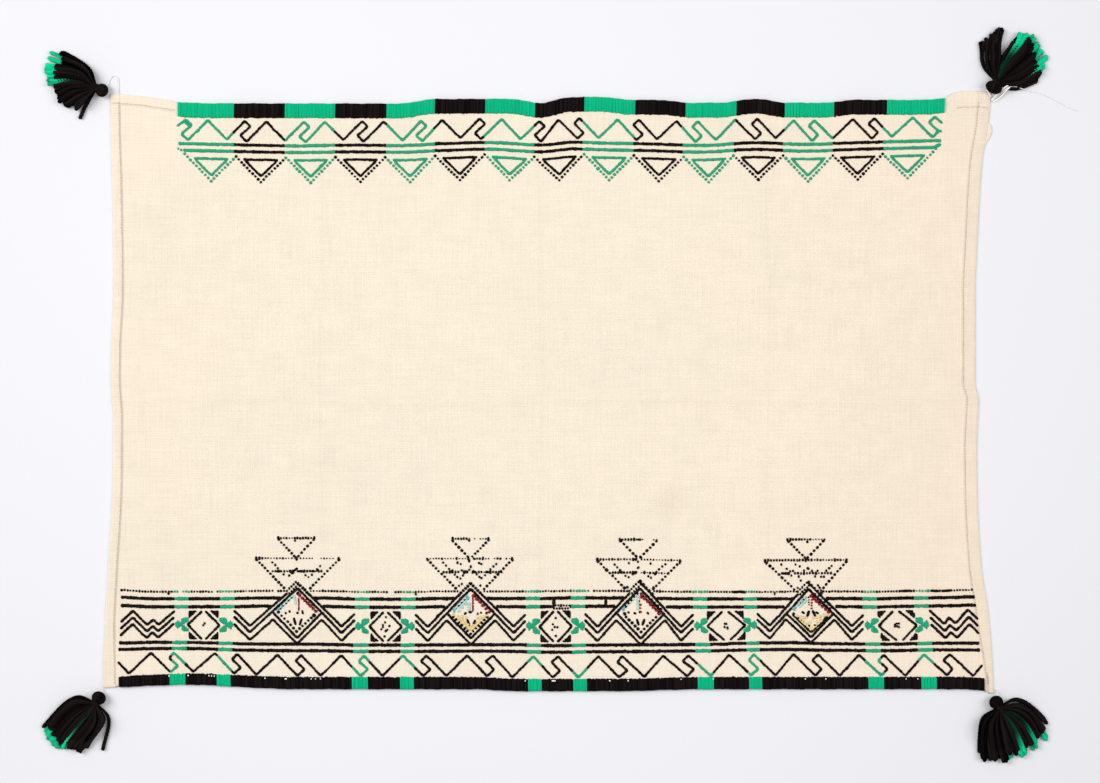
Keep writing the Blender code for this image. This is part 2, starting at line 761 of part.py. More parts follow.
def build_thread(name, route, whole, material):
    """A thin round thread along a smooth curve through the route's points."""
    points = np.array(route, float)
    spans = np.linalg.norm(np.diff(points, axis=0), axis=1)
    place = np.concatenate([[0.0], np.cumsum(spans)])
    lines = [smooth_line(list(zip(place, points[:, axis]))) for axis in range(3)]
    count = max(THREAD_FEWEST_POINTS, int(place[-1] / THREAD_STEP) + 1)
    curve = bpy.data.curves.new(name, "CURVE")
    curve.dimensions = "3D"
    curve.bevel_depth = 0.5 * THREAD_THICK * MM
    curve.bevel_resolution = 2
    curve.use_fill_caps = True
    spline = curve.splines.new("POLY")
    spline.points.add(count - 1)
    for point, where in zip(spline.points, np.linspace(0.0, place[-1], count)):
        point.co = (*(line(where) * MM for line in lines), 1.0)
    curve.materials.append(material)
    add_object(name, curve, whole)


def main():
    clear_scene()
    whole = bpy.data.objects.new("manta", None)
    bpy.context.scene.collection.objects.link(whole)
    cotton = finish_of("cream cotton", CREAM, 0.9)
    black = finish_of("black yarn", BLACK, 0.8)
    green = finish_of("green yarn", GREEN, 0.75)
    white = finish_of("white thread", WHITE, 0.7)
    build_cloth(whole, cotton)
    build_bindings(whole, green, black)
    for row in TASSELS:
        fan = Fan(**row)
        build_outer(fan, whole, black)
        build_core(fan, whole, green)
    build_thread("tie_thread_north_east", LOOSE_THREAD, whole, white)
    for name, route in SHORT_THREADS:
        build_thread(f"tie_thread_{name}", route, whole, white)


main()
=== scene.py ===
"""The looks of an embroidered cotton manta laid flat: cloth, wrapped edges, embroidery, tassels and threads.

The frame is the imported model: +X along the long side, +Y towards the upper edge, +Z up, the origin on the
underside in the middle of the cloth. Tables and shapes here are in millimetres, and become metres in the
meshes.
"""

import math
from typing import NamedTuple

import bpy
import numpy as np
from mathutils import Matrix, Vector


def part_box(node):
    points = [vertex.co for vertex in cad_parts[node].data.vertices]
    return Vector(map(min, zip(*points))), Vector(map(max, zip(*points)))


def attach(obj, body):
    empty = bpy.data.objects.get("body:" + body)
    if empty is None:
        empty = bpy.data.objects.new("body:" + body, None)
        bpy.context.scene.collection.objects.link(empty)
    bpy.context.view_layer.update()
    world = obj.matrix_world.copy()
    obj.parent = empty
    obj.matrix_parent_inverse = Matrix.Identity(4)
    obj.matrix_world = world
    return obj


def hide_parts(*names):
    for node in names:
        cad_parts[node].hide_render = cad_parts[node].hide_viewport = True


bl_info = {
    "name": "Embroidered Manta",
    "version": (1, 0, 0),
    "blender": (4, 5, 0),
    "location": "3D View > Sidebar > Manta",
    "description": "Cloth, yarn wraps, embroidery, tassels and threads of a laid manta",
    "category": "Object",
}

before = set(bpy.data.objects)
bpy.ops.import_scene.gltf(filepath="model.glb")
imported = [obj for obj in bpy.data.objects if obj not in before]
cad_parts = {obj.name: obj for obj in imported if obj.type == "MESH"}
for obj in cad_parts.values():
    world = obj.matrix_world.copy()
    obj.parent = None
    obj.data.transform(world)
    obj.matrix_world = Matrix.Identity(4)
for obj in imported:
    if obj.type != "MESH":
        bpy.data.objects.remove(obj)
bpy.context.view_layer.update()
NODES = sorted(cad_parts)

MM = 0.001
BODY = "root"

# The floor's half width, in metres
FLOOR_HALF = 6.0

# The photograph's frame, at the height of the surface that the cloth lies on
PICTURE_WIDTH = 1397.0
PICTURE_CENTRE = (1.3, 3.2)

# Edge lines of the laid cloth: place along the edge, then the line's X or Y there
LEFT_EDGE = (
    # y, x
    (378.0, -556.9), (335.0, -556.2), (246.0, -553.7), (132.0, -552.4), (62.0, -555.6), (20.0, -556.3),
    (-30.0, -553.3), (-109.0, -553.7), (-210.0, -559.0), (-312.0, -564.5), (-373.0, -566.4),
)
RIGHT_EDGE = (
    # y, x
    (382.0, 560.7), (352.0, 558.6), (325.0, 554.8), (297.0, 550.0), (258.0, 547.0), (190.0, 543.5),
    (132.0, 541.0), (13.0, 541.0), (-5.0, 545.4), (-71.0, 542.9), (-124.0, 543.6), (-216.0, 548.6),
    (-277.0, 557.5), (-338.0, 562.6), (-380.0, 564.5),
)
TOP_EDGE = (
    # x, y
    (-558.0, 381.0), (-528.0, 379.2), (-502.0, 375.9), (-479.0, 372.4), (-462.0, 370.2), (-420.0, 369.0),
    (-330.0, 369.0), (-190.0, 368.8), (-145.0, 374.6), (-50.0, 374.8), (-12.0, 369.6), (27.0, 376.8),
    (64.0, 377.2), (103.0, 373.6), (141.0, 373.4), (179.0, 369.6), (217.0, 369.8), (262.0, 374.8),
    (300.0, 370.0), (350.0, 369.8), (388.0, 373.6), (465.0, 373.4), (502.0, 376.0), (511.0, 380.8),
    (524.0, 384.4), (548.0, 384.8), (561.0, 382.0),
)
BOTTOM_EDGE = (
    # x, y
    (-566.0, -373.5), (-549.0, -372.8), (-515.0, -370.9), (-455.0, -369.2), (-390.0, -372.2),
    (-321.0, -374.8), (-92.0, -375.0), (-40.0, -377.4), (100.0, -377.2), (145.0, -375.9), (190.0, -375.0),
    (515.0, -374.8), (551.0, -376.6), (557.0, -380.2), (565.0, -380.4),
)

# How far each border's rows wander from straight, by the place along the cloth
UPPER_DRIFT = (
    # x, y
    (-461.0, 0.0), (-405.0, -1.3), (-316.0, -2.8), (-253.0, -1.9), (-187.0, -2.5), (-138.0, -0.3),
    (-75.0, 1.3), (-11.0, -1.9), (33.0, 1.8), (72.0, 0.6), (116.0, -0.1), (194.0, -2.3), (262.0, 1.1),
    (326.0, -1.1), (376.0, 0.6), (439.0, 2.5), (497.0, 3.8),
)
LOWER_TOP_DRIFT = (
    # x, y
    (-542.0, 1.7), (-502.0, -0.4), (-400.0, -0.1), (-370.0, 0.6), (-278.0, 0.4), (-250.0, -0.6),
    (-176.0, -0.9), (-136.0, 0.0), (-14.0, 0.0), (27.0, 0.6), (108.0, 0.6), (169.0, -0.5), (270.0, -0.6),
    (372.0, 0.0), (413.0, -0.5), (453.0, 0.5), (494.0, 0.8), (535.0, 1.9),
)
LOWER_FOOT_DRIFT = (
    # x, y
    (-542.0, 1.4), (-502.0, 2.4), (-441.0, 2.0), (-380.0, 0.3), (-298.0, 0.0), (-237.0, -1.1),
    (-176.0, -1.1), (-126.0, -0.8), (-55.0, -0.6), (6.0, -1.8), (67.0, -1.1), (149.0, -0.6), (210.0, -0.1),
    (250.0, 1.3), (301.0, 1.9), (352.0, 0.8), (433.0, 0.1), (494.0, 1.3), (535.0, 1.3),
)

# Cloth: its thickness, alone and in the hems, each hem's width, which changes towards the foot or the right,
# and the seam that holds a hem down
CLOTH_THICK = 1.4
HEM_THICK = 2.4
HEM_LEFT, HEM_LEFT_FOOT = 12.4, 16.6
HEM_RIGHT, HEM_RIGHT_FOOT = 16.4, 9.4
HEM_FOOT_FROM = 0.86
HEM_TOP, HEM_TOP_RIGHT = 13.0, 22.0
SEAM_IN = 1.5
SEAM_DEEP, SEAM_HALF = 0.2, 0.7
EDGE_ROUND = 1.6

# How the cloth lies: how far the wraps hold it up and pull it in, the length of that rise, the heights and
# lengths of its waves, and its creases
BAND_GAP = 2.1
PULLED_IN = 2.4
RISE_LENGTH = 34.0
EDGE_WAVE_HIGH, EDGE_WAVE_LONG, EDGE_WAVE_ENDS = 1.4, 152.0, 60.0
LAID_HIGH = 0.55
BROAD_HIGH, CROSS_HIGH, PUCKER_HIGH = 0.3, 0.22, 0.16
PUCKER_REACH = 26.0
SETTLE_REACH = 40.0
CREASES_X = (-290.8, -11.4, 276.9)
CREASE_Y = -10.0
CREASE_HIGH = 0.5

# Places of the cloth's grid lines: in from a side edge, with how many hem widths more, then in from the upper
# and the lower edge, and how far in the even ones begin
SIDE_LINES = (
    (0.0, 0.0), (0.5, 0.0), (1.4, 0.0), (4.0, 0.0), (7.5, 0.0), (-2.8, 1.0), (-1.6, 1.0), (-0.5, 1.0),
    (0.0, 1.0), (0.6, 1.0), (1.8, 1.0), (22.0, 0.0),
)
HEAD_LINES = (0.0, 0.5, 1.4, 4.0, 7.5, 10.4, 11.8, 12.5, 13.2, 14.6, 17.0, 20.5)
FOOT_LINES = (20.5, 17.0, 12.0, 7.0, 3.0, 1.4, 0.5, 0.0)
EVEN_FROM = 26.0

# How dark the left, right and top hems' sewn lines are, partly their own colour and partly painted shade in
# the seam's groove, how dark their double cloth is, and the painted shade along the creases
SEAM_LINES_AND_SHADE = (0.50, 0.42, 0.16)
DOUBLED = (0.03, 0.10, 0.02)
CREASE_PAINTED_SHADE = 0.06

# The loose layer at the right edge: its stretch along Y and how far it stands out
LOOSE_LAYER = (316.0, 345.0)
LOOSE_OUT = 6.2

# How far in from the edge the wraps' holes are: along the upper edge, and at the lower edge's left and right,
# with the length of the change between the two. Then half a wrap's height, and its way round the edge
UPPER_WRAP_IN = 19.6
LOWER_WRAP_IN = (14.8, 16.6)
LOWER_WRAP_TURN = 260.0
WRAP_HALF_HIGH = 0.86
WRAP_PROFILE = (
    # share of the wrap's depth, distance in, height, how much it bags out, how far it is parted from its pair
    (1.0, 0.0, 3.3, 0.0, 1.0), (1.0, -0.9, 4.35, 0.0, 1.0), (1.0, -2.2, 4.7, 0.0, 0.8),
    (0.55, 0.0, 4.78, 0.0, 0.1), (0.0, 3.2, 4.7, 0.3, 0.0), (0.0, 1.5, 4.2, 0.8, 0.0),
    (0.0, 0.95, 2.8, 1.0, 0.0), (0.0, 1.5, 1.5, 0.8, 0.0), (0.0, 3.2, 1.12, 0.3, 0.0),
    (1.0, -2.2, 1.1, 0.0, 0.0), (1.0, -0.9, 1.2, 0.0, 0.0), (1.0, 0.0, 1.8, 0.0, 0.0),
)

# Specks of white thread between the lower edge's wraps: X and length, how far short of the wraps' inner ends
# they lie, and how high
FLECKS = (
    (-481.6, 1.2), (-457.2, 1.2), (-430.9, 0.8), (-427.6, 0.8), (-424.2, 0.8), (-359.9, 0.8), (-333.6, 2.2),
    (-301.4, 0.6), (-295.9, 0.6), (-289.6, 0.6), (-30.1, 0.8), (6.0, 4.4), (77.1, 1.2), (100.3, 0.8),
    (167.6, 0.6), (208.5, 1.0), (325.0, 0.8), (351.0, 0.8), (452.6, 0.5), (467.5, 0.5),
)
FLECK_IN = 2.8
FLECK_HIGH = 5.5

# Embroidery: one chart square, the squares that a stitch of a row takes, a hem stitch, and the lines that the
# borders' charts hang from
STITCH = 3.156
BLOCK = 1.167
HEM_STITCH = 3.3
UPPER_LINE = 317.5
LOWER_LINE = -259.7
LOWER_FOOT_LINE = -317.5
EDGE_LEVEL = -374.5
FOOT_TURN = 50.0

# A stitch: the share of its length, height over the cloth and fullness at each of its stations, and half its
# height. Then the share of its pitch that a line's stitch and a row's dot cover, a lone dot's length in chart
# squares, and the length and size of each mark of a charted row
STITCH_PROFILE = (
    (0.02, 0.05, 0.5), (0.16, 0.42, 0.9), (0.5, 0.56, 1.0), (0.84, 0.42, 0.9), (0.98, 0.05, 0.5),
)
STITCH_HALF_HIGH = 0.62
LINE_SHARE = 1.24
DOT_SHARE = 0.68
DOT_LONG = 0.82
FILL_OVER = 0.25
STITCH_WANDER = 0.2
ROW_MARKS = {"-": (0.5, 0.5), ".": (0.6, 0.74), "o": (0.8, 1.02), "O": (0.9, 1.35), "=": (1.6, 1.0)}

# Tassels
NECK_OUT = 7.4
NECK_LOW = 2.8
NECK_TOP = 11.0
SKIRT_INNER = 2.0
SKIRT_RIM = 18.0
FAN_ROWS = 4
ROW_HIGH = 3.4
STRAND_HIGH = 3.0
STIFFNESS = 0.85
ROOT = -0.3
STRAND_STATIONS = 34
# Tone of a strand's darkest yarn and the spread of tones above it, and how much painted shade darkens a
# strand towards its root
STRAND_TONES = {"black": (-0.4, 1.3), "green": (-1.5, 4.0)}
STRAND_PAINTED_ROOT_SHADE = {"black": 0.0, "green": 0.92}
HEAD_MIDDLE, HEAD_HALF_HIGH, HEAD_LEAST = 6.8, 4.6, 2.2
HEAD_WINDINGS = 8
TIE_MIDDLE, TIE_RADIUS, TIE_HALF_LONG = 6.9, 4.6, 1.9
TIE_TURNS = 4.2
TASSELS = (
    {
        "name": "north_west", "head": (-566.4, 384.8), "neck_azimuth": 157, "starts": (108, 240),
        "tips": (136, 235), "headings": (149, 240), "reaches": (70, 62, 45),
        "part_at": 0.93, "part_wide": 10,
    },
    {
        "name": "north_east", "head": (563.6, 388.6), "neck_azimuth": 66, "starts": (129, -26),
        "tips": (106, 8), "headings": (104, 9), "reaches": (60, 74, 58), "head_half": (6.0, 9.0),
        "part_at": 0.295, "part_wide": -11,
    },
    {
        "name": "south_west", "head": (-570.4, -385.2), "neck_azimuth": 238, "starts": (158, 320),
        "tips": (207, 276), "headings": (224, 264), "reaches": (80, 76, 66), "head_half": (6.5, 7.3),
        "part_at": 0.906, "part_wide": 14,
    },
    {
        "name": "south_east", "head": (566.5, -390.5), "neck_azimuth": 300, "starts": (212, 388),
        "tips": (255, 338), "headings": (270, 303), "reaches": (73, 74, 71), "head_half": (6.4, 7.1),
    },
)

# White sewing thread
THREAD_THICK = 0.9
THREAD_TWIST = 2.6
THREAD_PLIES = {"plies": 2, "ply_depth": 0.14}
LOOSE_THREAD = (
    # x, y, z
    (562.2, 371.6, 0.8), (570.0, 378.2, 2.0), (576.4, 384.4, 6.0), (582.6, 389.0, 7.4), (590.6, 389.4, 7.0),
    (600.2, 387.0, 4.0), (610.0, 384.6, 1.2), (622.0, 382.4, 0.6), (634.0, 377.6, 0.6), (647.0, 370.8, 0.6),
    (660.0, 364.0, 0.6), (671.0, 360.0, 0.6),
)
SHORT_THREADS = (
    # name, then x, y, z of each point
    ("north_west", ((-560.1, 392.6, 2.2), (-557.4, 399.0, 0.7), (-552.0, 404.6, 0.6), (-547.4, 402.0, 0.6),
                    (-546.0, 391.0, 0.6), (-545.8, 380.7, 0.8))),
    ("south_west", ((-566.3, -374.4, 0.9), (-567.2, -375.8, 2.4), (-567.9, -377.2, 4.8))),
    ("south_east", ((565.2, -374.5, 0.7), (568.4, -376.5, 0.9), (569.4, -379.8, 2.5), (568.3, -381.6, 5.2))),
)
THREAD_BITS = (
    # x, y, z of the doubled thread beside the long one, and of the knot at the head's other side
    ((561.4, 372.6, 2.0), (566.0, 377.4, 2.4), (571.6, 383.4, 5.0), (577.0, 388.2, 7.4), (582.4, 391.4, 8.2)),
    ((563.6, 371.0, 1.4), (569.4, 374.4, 1.8), (575.2, 379.6, 2.8), (579.4, 385.0, 6.4), (583.6, 388.4, 7.6)),
    ((554.6, 389.8, 3.2), (555.6, 386.4, 3.6), (557.2, 383.0, 3.8), (558.6, 380.0, 3.6), (559.6, 377.6, 3.3)),
)


def ease(value):
    """A smooth step of an array or number: 0 below 0, 1 above 1, 3v^2 - 2v^3 between."""
    kept = np.clip(value, 0.0, 1.0)
    return kept * kept * (3.0 - 2.0 * kept)


def between(pair, share):
    """The value at a share of the way from the first of a pair to the second."""
    return pair[0] + (pair[1] - pair[0]) * share


def smooth_line(rows):
    """A cubic through table rows (place, value), its slopes the harmonic mean of the neighbouring rises."""
    place, value = np.array(sorted(rows), float).T
    run = np.diff(place)
    rise = np.diff(value) / run
    product = rise[:-1] * rise[1:]
    bends = product > 0.0
    inner = np.where(bends, 2.0 * product / np.where(bends, rise[:-1] + rise[1:], 1.0), 0.0)
    slope = np.concatenate([rise[:1], inner, rise[-1:]])

    def at(where):
        where = np.clip(where, place[0], place[-1])
        k = np.clip(np.searchsorted(place, where, side="right") - 1, 0, len(run) - 1)
        t = (where - place[k]) / run[k]
        first = (1.0 + 2.0 * t) * (1.0 - t) ** 2 * value[k] + t * (1.0 - t) ** 2 * run[k] * slope[k]
        second = t * t * (3.0 - 2.0 * t) * value[k + 1] + t * t * (t - 1.0) * run[k] * slope[k + 1]
        return first + second

    return at


left_edge = smooth_line(LEFT_EDGE)
right_edge = smooth_line(RIGHT_EDGE)
top_line = smooth_line(TOP_EDGE)
bottom_line = smooth_line(BOTTOM_EDGE)
upper_drift = smooth_line(UPPER_DRIFT)
lower_top_drift = smooth_line(LOWER_TOP_DRIFT)
lower_foot_drift = smooth_line(LOWER_FOOT_DRIFT)


def runs_of(edge):
    """The wrapped runs of an edge, each as its node, its start and its end along X."""
    found = []
    for node in NODES:
        if node.startswith(f"{edge}_binding_"):
            low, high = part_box(node)
            found.append((node, low.x / MM, high.x / MM))
    return found


UPPER_RUNS = runs_of("upper")
LOWER_RUNS = runs_of("lower")


def bound_share(x, runs):
    """1 where the edge is wrapped, falling to 0 just outside the wrapped stretch."""
    outside = np.maximum(runs[0][1] - x, x - runs[-1][2])
    return 1.0 - ease((outside - 1.2) / 6.0)


def cloth_head(x):
    """Y of the cloth's own upper edge, which is pulled in under the wraps."""
    return top_line(x) - PULLED_IN * bound_share(x, UPPER_RUNS)


def cloth_foot(x):
    """Y of the cloth's own lower edge, which is pulled in under the wraps."""
    return bottom_line(x) + PULLED_IN * bound_share(x, LOWER_RUNS)


def edge_lift(x):
    """Height by which the upper edge waves off the surface: a cosine wave, uneven along the edge."""
    start, end = UPPER_RUNS[0][1], UPPER_RUNS[-1][2]
    wave = 0.5 - 0.5 * np.cos(2.0 * math.pi * (x - start) / EDGE_WAVE_LONG)
    uneven = 0.5 + 0.5 * np.sin(x / 97.0)
    flat_ends = ease((x - start) / EDGE_WAVE_ENDS) * ease((end - x) / EDGE_WAVE_ENDS)
    return EDGE_WAVE_HIGH * wave * uneven * flat_ends


def hem_widths(y):
    """Width of the left and right hem at Y."""
    top, foot = top_line(0.0), bottom_line(0.0)
    low = ease(((top - y) / (top - foot) - HEM_FOOT_FROM) / (1.0 - HEM_FOOT_FROM))
    return between((HEM_LEFT, HEM_LEFT_FOOT), low), between((HEM_RIGHT, HEM_RIGHT_FOOT), low)


def cloth_bends(x, y):
    """Height of the laid cloth's waves: sines of several lengths, with small puckers along the hems."""
    broad = np.sin(x / 71.0 + 0.7 * np.sin(y / 93.0)) * np.sin(y / 83.0 + 0.9)
    cross = np.sin((x + 0.6 * y) / 47.0 + 1.3) * np.sin((y - 0.4 * x) / 61.0)
    inside = np.minimum(x - left_edge(y), right_edge(y) - x)
    pucker = np.exp(-inside / PUCKER_REACH) * np.sin(y / 5.1 + 1.7 * np.sin(y / 37.0))
    return LAID_HIGH + BROAD_HIGH * broad + CROSS_HIGH * cross + PUCKER_HIGH * pucker


def crease_line(across, place, wander, half):
    """1 on a crease that wanders about its place, falling off exponentially to both sides."""
    return np.exp(-np.abs(across - place - wander) / half)


def crease_ridge(x, y):
    """Height of the ridges where the cloth was folded away."""
    ridges = [crease_line(x, place, 1.6 * np.sin(y / 63.0 + place), 3.2) for place in CREASES_X]
    ridges.append(crease_line(y, CREASE_Y, 2.2 * np.sin(x / 88.0), 3.4))
    return CREASE_HIGH * np.maximum.reduce(ridges)


def underside(x, y):
    """Height of the cloth's underside: it climbs on to the wraps along both edges, and waves in between."""
    from_top, from_foot = top_line(x) - y, y - bottom_line(x)
    upper = bound_share(x, UPPER_RUNS) * (1.0 - ease((from_top - UPPER_WRAP_IN) / RISE_LENGTH))
    lower = bound_share(x, LOWER_RUNS) * (1.0 - ease((from_foot - LOWER_WRAP_IN[1]) / RISE_LENGTH))
    raised = np.maximum(upper, lower)
    inside = ease(np.minimum(x - left_edge(y), right_edge(y) - x) / SETTLE_REACH)
    bends = cloth_bends(x, y) * inside + crease_ridge(x, y)
    return BAND_GAP * raised + edge_lift(x) * upper + (1.0 - raised) * bends


def top_hem(x):
    """Width of the top hem at X."""
    return between((HEM_TOP, HEM_TOP_RIGHT), ease((x + 300.0) / 600.0))


def hem_lines(x, y):
    """Distance past each hem's inner line: positive inside the hem, for the left, right and top hems.

    The top hem counts only beside the wrapped stretch of the edge.
    """
    left, right = hem_widths(y)
    wrapped = np.where(bound_share(x, UPPER_RUNS) > 0.5, HEM_TOP_RIGHT, 0.0)
    return left - (x - left_edge(y)), right - (right_edge(y) - x), top_hem(x) - (top_line(x) - y) - wrapped


def cloth_thickness(x, y):
    """Single cloth, with a second layer inside the hems and a shallow valley where the hem is sewn down.

    Within the rounding distance of an edge it thins with the square root of the distance.
    """
    inside = np.maximum.reduce(hem_lines(x, y))
    layer = ease((inside + 0.5) / 1.0)
    to_edge = np.minimum.reduce([x - left_edge(y), right_edge(y) - x, cloth_head(x) - y, y - cloth_foot(x)])
    valley = SEAM_DEEP * np.exp(-(((inside - SEAM_IN) / SEAM_HALF) ** 2))
    full = CLOTH_THICK + (HEM_THICK - CLOTH_THICK) * layer - valley
    return full * (0.45 + 0.55 * np.sqrt(np.clip(to_edge / EDGE_ROUND, 0.0, 1.0)))


def cloth_top(x, y):
    """Height of the cloth's upper face."""
    return underside(x, y) + cloth_thickness(x, y)


class Wire:
    """A socket of a material's node tree. Arithmetic on it adds Math nodes, and node() adds any other."""

    def __init__(self, tree, socket=None):
        self.tree = tree
        self.socket = socket

    def node(self, kind, settings=None, inputs=None, output=0):
        """A node of a kind: its settings first, then its sockets' values or wires, by name or number."""
        made = self.tree.nodes.new(kind)
        for name, value in (settings or {}).items():
            setattr(made, name, value)
        for name, value in (inputs or {}).items():
            if isinstance(value, Wire):
                self.tree.links.new(value.socket, made.inputs[name])
            else:
                made.inputs[name].default_value = value
        return Wire(self.tree, made.outputs[output])

    def maths(self, operation, *values):
        """A Math node on this wire and other values."""
        return self.node("ShaderNodeMath", {"operation": operation}, dict(enumerate((self, *values))))

    def __add__(self, other):
        return self.maths("ADD", other)

    __radd__ = __add__

    def __sub__(self, other):
        return self.maths("SUBTRACT", other)

    def __rsub__(self, other):
        return self.maths("MULTIPLY", -1.0) + other

    def __mul__(self, other):
        return self.maths("MULTIPLY", other)

    __rmul__ = __mul__

    def __truediv__(self, other):
        return self.maths("DIVIDE", other)

    def __abs__(self):
        return self.maths("ABSOLUTE")

    def wave(self, length):
        """The sine of this wire, one period to each length."""
        return (self * (2.0 * math.pi / length)).maths("SINE")

    def stepped(self, low, high):
        """0 below low, 1 above high, smooth between."""
        settings = {"interpolation_type": "SMOOTHSTEP"}
        return self.node("ShaderNodeMapRange", settings, {"Value": self, "From Min": low, "From Max": high})

    def mixed(self, first, second):
        """The colour between two, by this wire."""
        settings = {"data_type": "RGBA", "blend_type": "MIX"}
        return self.node("ShaderNodeMix", settings, {0: self, 6: first, 7: second}, output=2)

    def times(self, shade):
        """This colour, darkened or lightened by a number."""
        grey = self.node("ShaderNodeCombineColor", None, {0: shade, 1: shade, 2: shade})
        settings = {"data_type": "RGBA", "blend_type": "MULTIPLY"}
        return self.node("ShaderNodeMix", settings, {0: 1.0, 6: self, 7: grey}, output=2)

    def noise(self, scale, stretch=(1.0, 1.0, 1.0), detail=2.0):
        """Noise at this place, with its own stretch along each axis."""
        along_each = tuple(scale * share for share in stretch)
        moved = self.node("ShaderNodeMapping", None, {"Vector": self, "Scale": along_each})
        return self.node("ShaderNodeTexNoise", None, {"Vector": moved, "Scale": 1.0, "Detail": detail})

    def parts(self):
        """The three numbers of a place."""
        return [self.node("ShaderNodeSeparateXYZ", None, {0: self}, output=axis) for axis in range(3)]

    def bump(self, strength, distance):
        """A normal that is raised by this height."""
        return self.node("ShaderNodeBump", None, {"Strength": strength, "Distance": distance, "Height": self})


def new_finish(name):
    """A material with its Principled shader, and a wire to start expressions from."""
    material = bpy.data.materials.new(name)
    material.use_nodes = True
    return material, material.node_tree.nodes["Principled BSDF"], Wire(material.node_tree)


def connect(shader, name, wire):
    """Links a wire to one of the shader's sockets."""
    wire.tree.links.new(wire.socket, shader.inputs[name])


def rgba(colour):
    """A colour property with a full alpha."""
    return (*colour[:3], 1.0)


def basket_weave(place, pitch):
    """How high the threads stand, and 1 in blocks with the warp on top or 0 in those with the weft.

    The blocks are a chequer. In each, the threads' height is a sine's size across them, fuller at mid-length.
    A noise sways the grid.
    """
    x, y, _ = place.parts()
    u = (x + 0.0011 * place.noise(26.0, detail=1.0)) / pitch
    v = (y + 0.0011 * place.noise(31.0, detail=1.0)) / pitch
    over = (u.maths("FLOOR") + v.maths("FLOOR")).maths("FLOORED_MODULO", 2.0)
    warp = abs(u.wave(1.0)) * (0.3 + 0.7 * abs(v.wave(2.0)))
    weft = abs(v.wave(1.0)) * (0.3 + 0.7 * abs(u.wave(2.0)))
    return over * warp + (1.0 - over) * weft, over


def stain_mask(place, middle):
    """How strong the stain is: a soft round spot with an uneven rim."""
    from_middle = place.node("ShaderNodeVectorMath", {"operation": "DISTANCE"}, {0: place, 1: middle},
                             output="Value")
    return (1.0 - (from_middle + 0.012 * place.noise(60.0)).stepped(0.004, 0.040)) * 0.2


def cotton_finish(settings):
    """Basket-woven cotton: slubs, clouds and flecks in its shade, warmer sides, a stain, seams darkened
    partly by painted shade, and painted shade in the weave's hollows, along creases and towards the sides.
    """
    material, shader, start = new_finish("cream basket weave")
    place = start.node("ShaderNodeTexCoord", output="Object")
    x = place.parts()[0]
    height, over = basket_weave(place, settings.weave_pitch)
    along = place.noise(55.0, (0.35, 14.0, 1.0))
    across = place.noise(55.0, (14.0, 0.35, 1.0))
    slub = along * over + across * (1.0 - over)
    cloud = place.noise(5.0, detail=3.0)
    mottle = place.noise(38.0, detail=2.0)
    fleck = place.noise(900.0, detail=0.0).stepped(0.80, 0.84)
    stain = stain_mask(place, tuple(settings.stain_place))
    worn = start.node("ShaderNodeAttribute", {"attribute_name": "worn"}, output="Fac")
    # Painted shade: the weave's hollows are darker than its raised threads, and the cloth darkens towards its
    # sides, most on the left; the slubs, clouds and mottling are the cotton's own
    shade = 0.925 + 0.08 * height + 0.10 * (slub - 0.5) + 0.09 * (cloud - 0.5) + 0.09 * (mottle - 0.5)
    shade = shade + 0.02 * x - 0.08 * (x * x) + 0.11 * (along + across - 1.0)
    warm = 0.3 * cloud.stepped(0.3, 0.7) + 0.45 * x + 1.5 * (x * x) - 0.1
    colour = warm.mixed(rgba(settings.colour), rgba(settings.warm_colour))
    colour = stain.mixed(colour, rgba(settings.stain_colour))
    # Darker sewn lines, partly their own colour and partly painted shade in their grooves, darker doubled
    # hems, and painted shade along the creases
    colour = (worn * 0.8).mixed(colour, rgba(settings.seam_and_shade_colour))
    colour = (fleck * 0.35).mixed(colour, rgba(settings.stain_colour))
    connect(shader, "Base Color", colour.times(shade))
    connect(shader, "Normal", (height + 0.35 * slub).bump(settings.weave_strength, 0.0006))
    shader.inputs["Roughness"].default_value = 0.92
    shader.inputs["Sheen Weight"].default_value = 0.12
    return material


def yarn_finish(name, colour, sheen):
    """Soft spun yarn: its tone from point to point, which also carries painted shade, fine twisted fibres and
    a little fuzz.
    """
    material, shader, start = new_finish(name)
    place = start.node("ShaderNodeTexCoord", output="Object")
    tone = start.node("ShaderNodeAttribute", {"attribute_name": "tone"}, output="Fac")
    fibre = place.noise(1500.0, detail=3.0)
    tuft = place.noise(420.0, detail=2.0)
    shade = tone * (1.0 + 0.3 * (fibre - 0.5) + 0.24 * (tuft - 0.5))
    base = start.node("ShaderNodeRGB")
    base.socket.default_value = rgba(colour)
    connect(shader, "Base Color", base.times(shade))
    connect(shader, "Normal", (fibre + tuft).bump(0.5, 0.0005))
    shader.inputs["Roughness"].default_value = 0.85
    shader.inputs["Sheen Weight"].default_value = sheen
    shader.inputs["Specular IOR Level"].default_value = sheen
    return material


def floor_finish(colour):
    """A smooth, pale, slightly uneven surface, darkened by painted shade away from the middle, most to the
    sides and a little more to the right.
    """
    material, shader, start = new_finish("pale floor")
    place = start.node("ShaderNodeTexCoord", output="Object")
    x, y, _ = place.parts()
    base = start.node("ShaderNodeRGB")
    base.socket.default_value = rgba(colour)
    # Painted shade: the floor darkens away from the middle, more to the left and right than to the top and
    # foot
    aside = (x * x + 0.5 * (y * y)) - 0.1 * x * y
    painted_falloff = 0.13 * aside.maths("MINIMUM", 0.6) + 0.01 * x
    connect(shader, "Base Color", base.times(1.0 + 0.02 * place.noise(2.0) - painted_falloff))
    shader.inputs["Roughness"].default_value = 0.9
    shader.inputs["Specular IOR Level"].default_value = 0.1
    return material


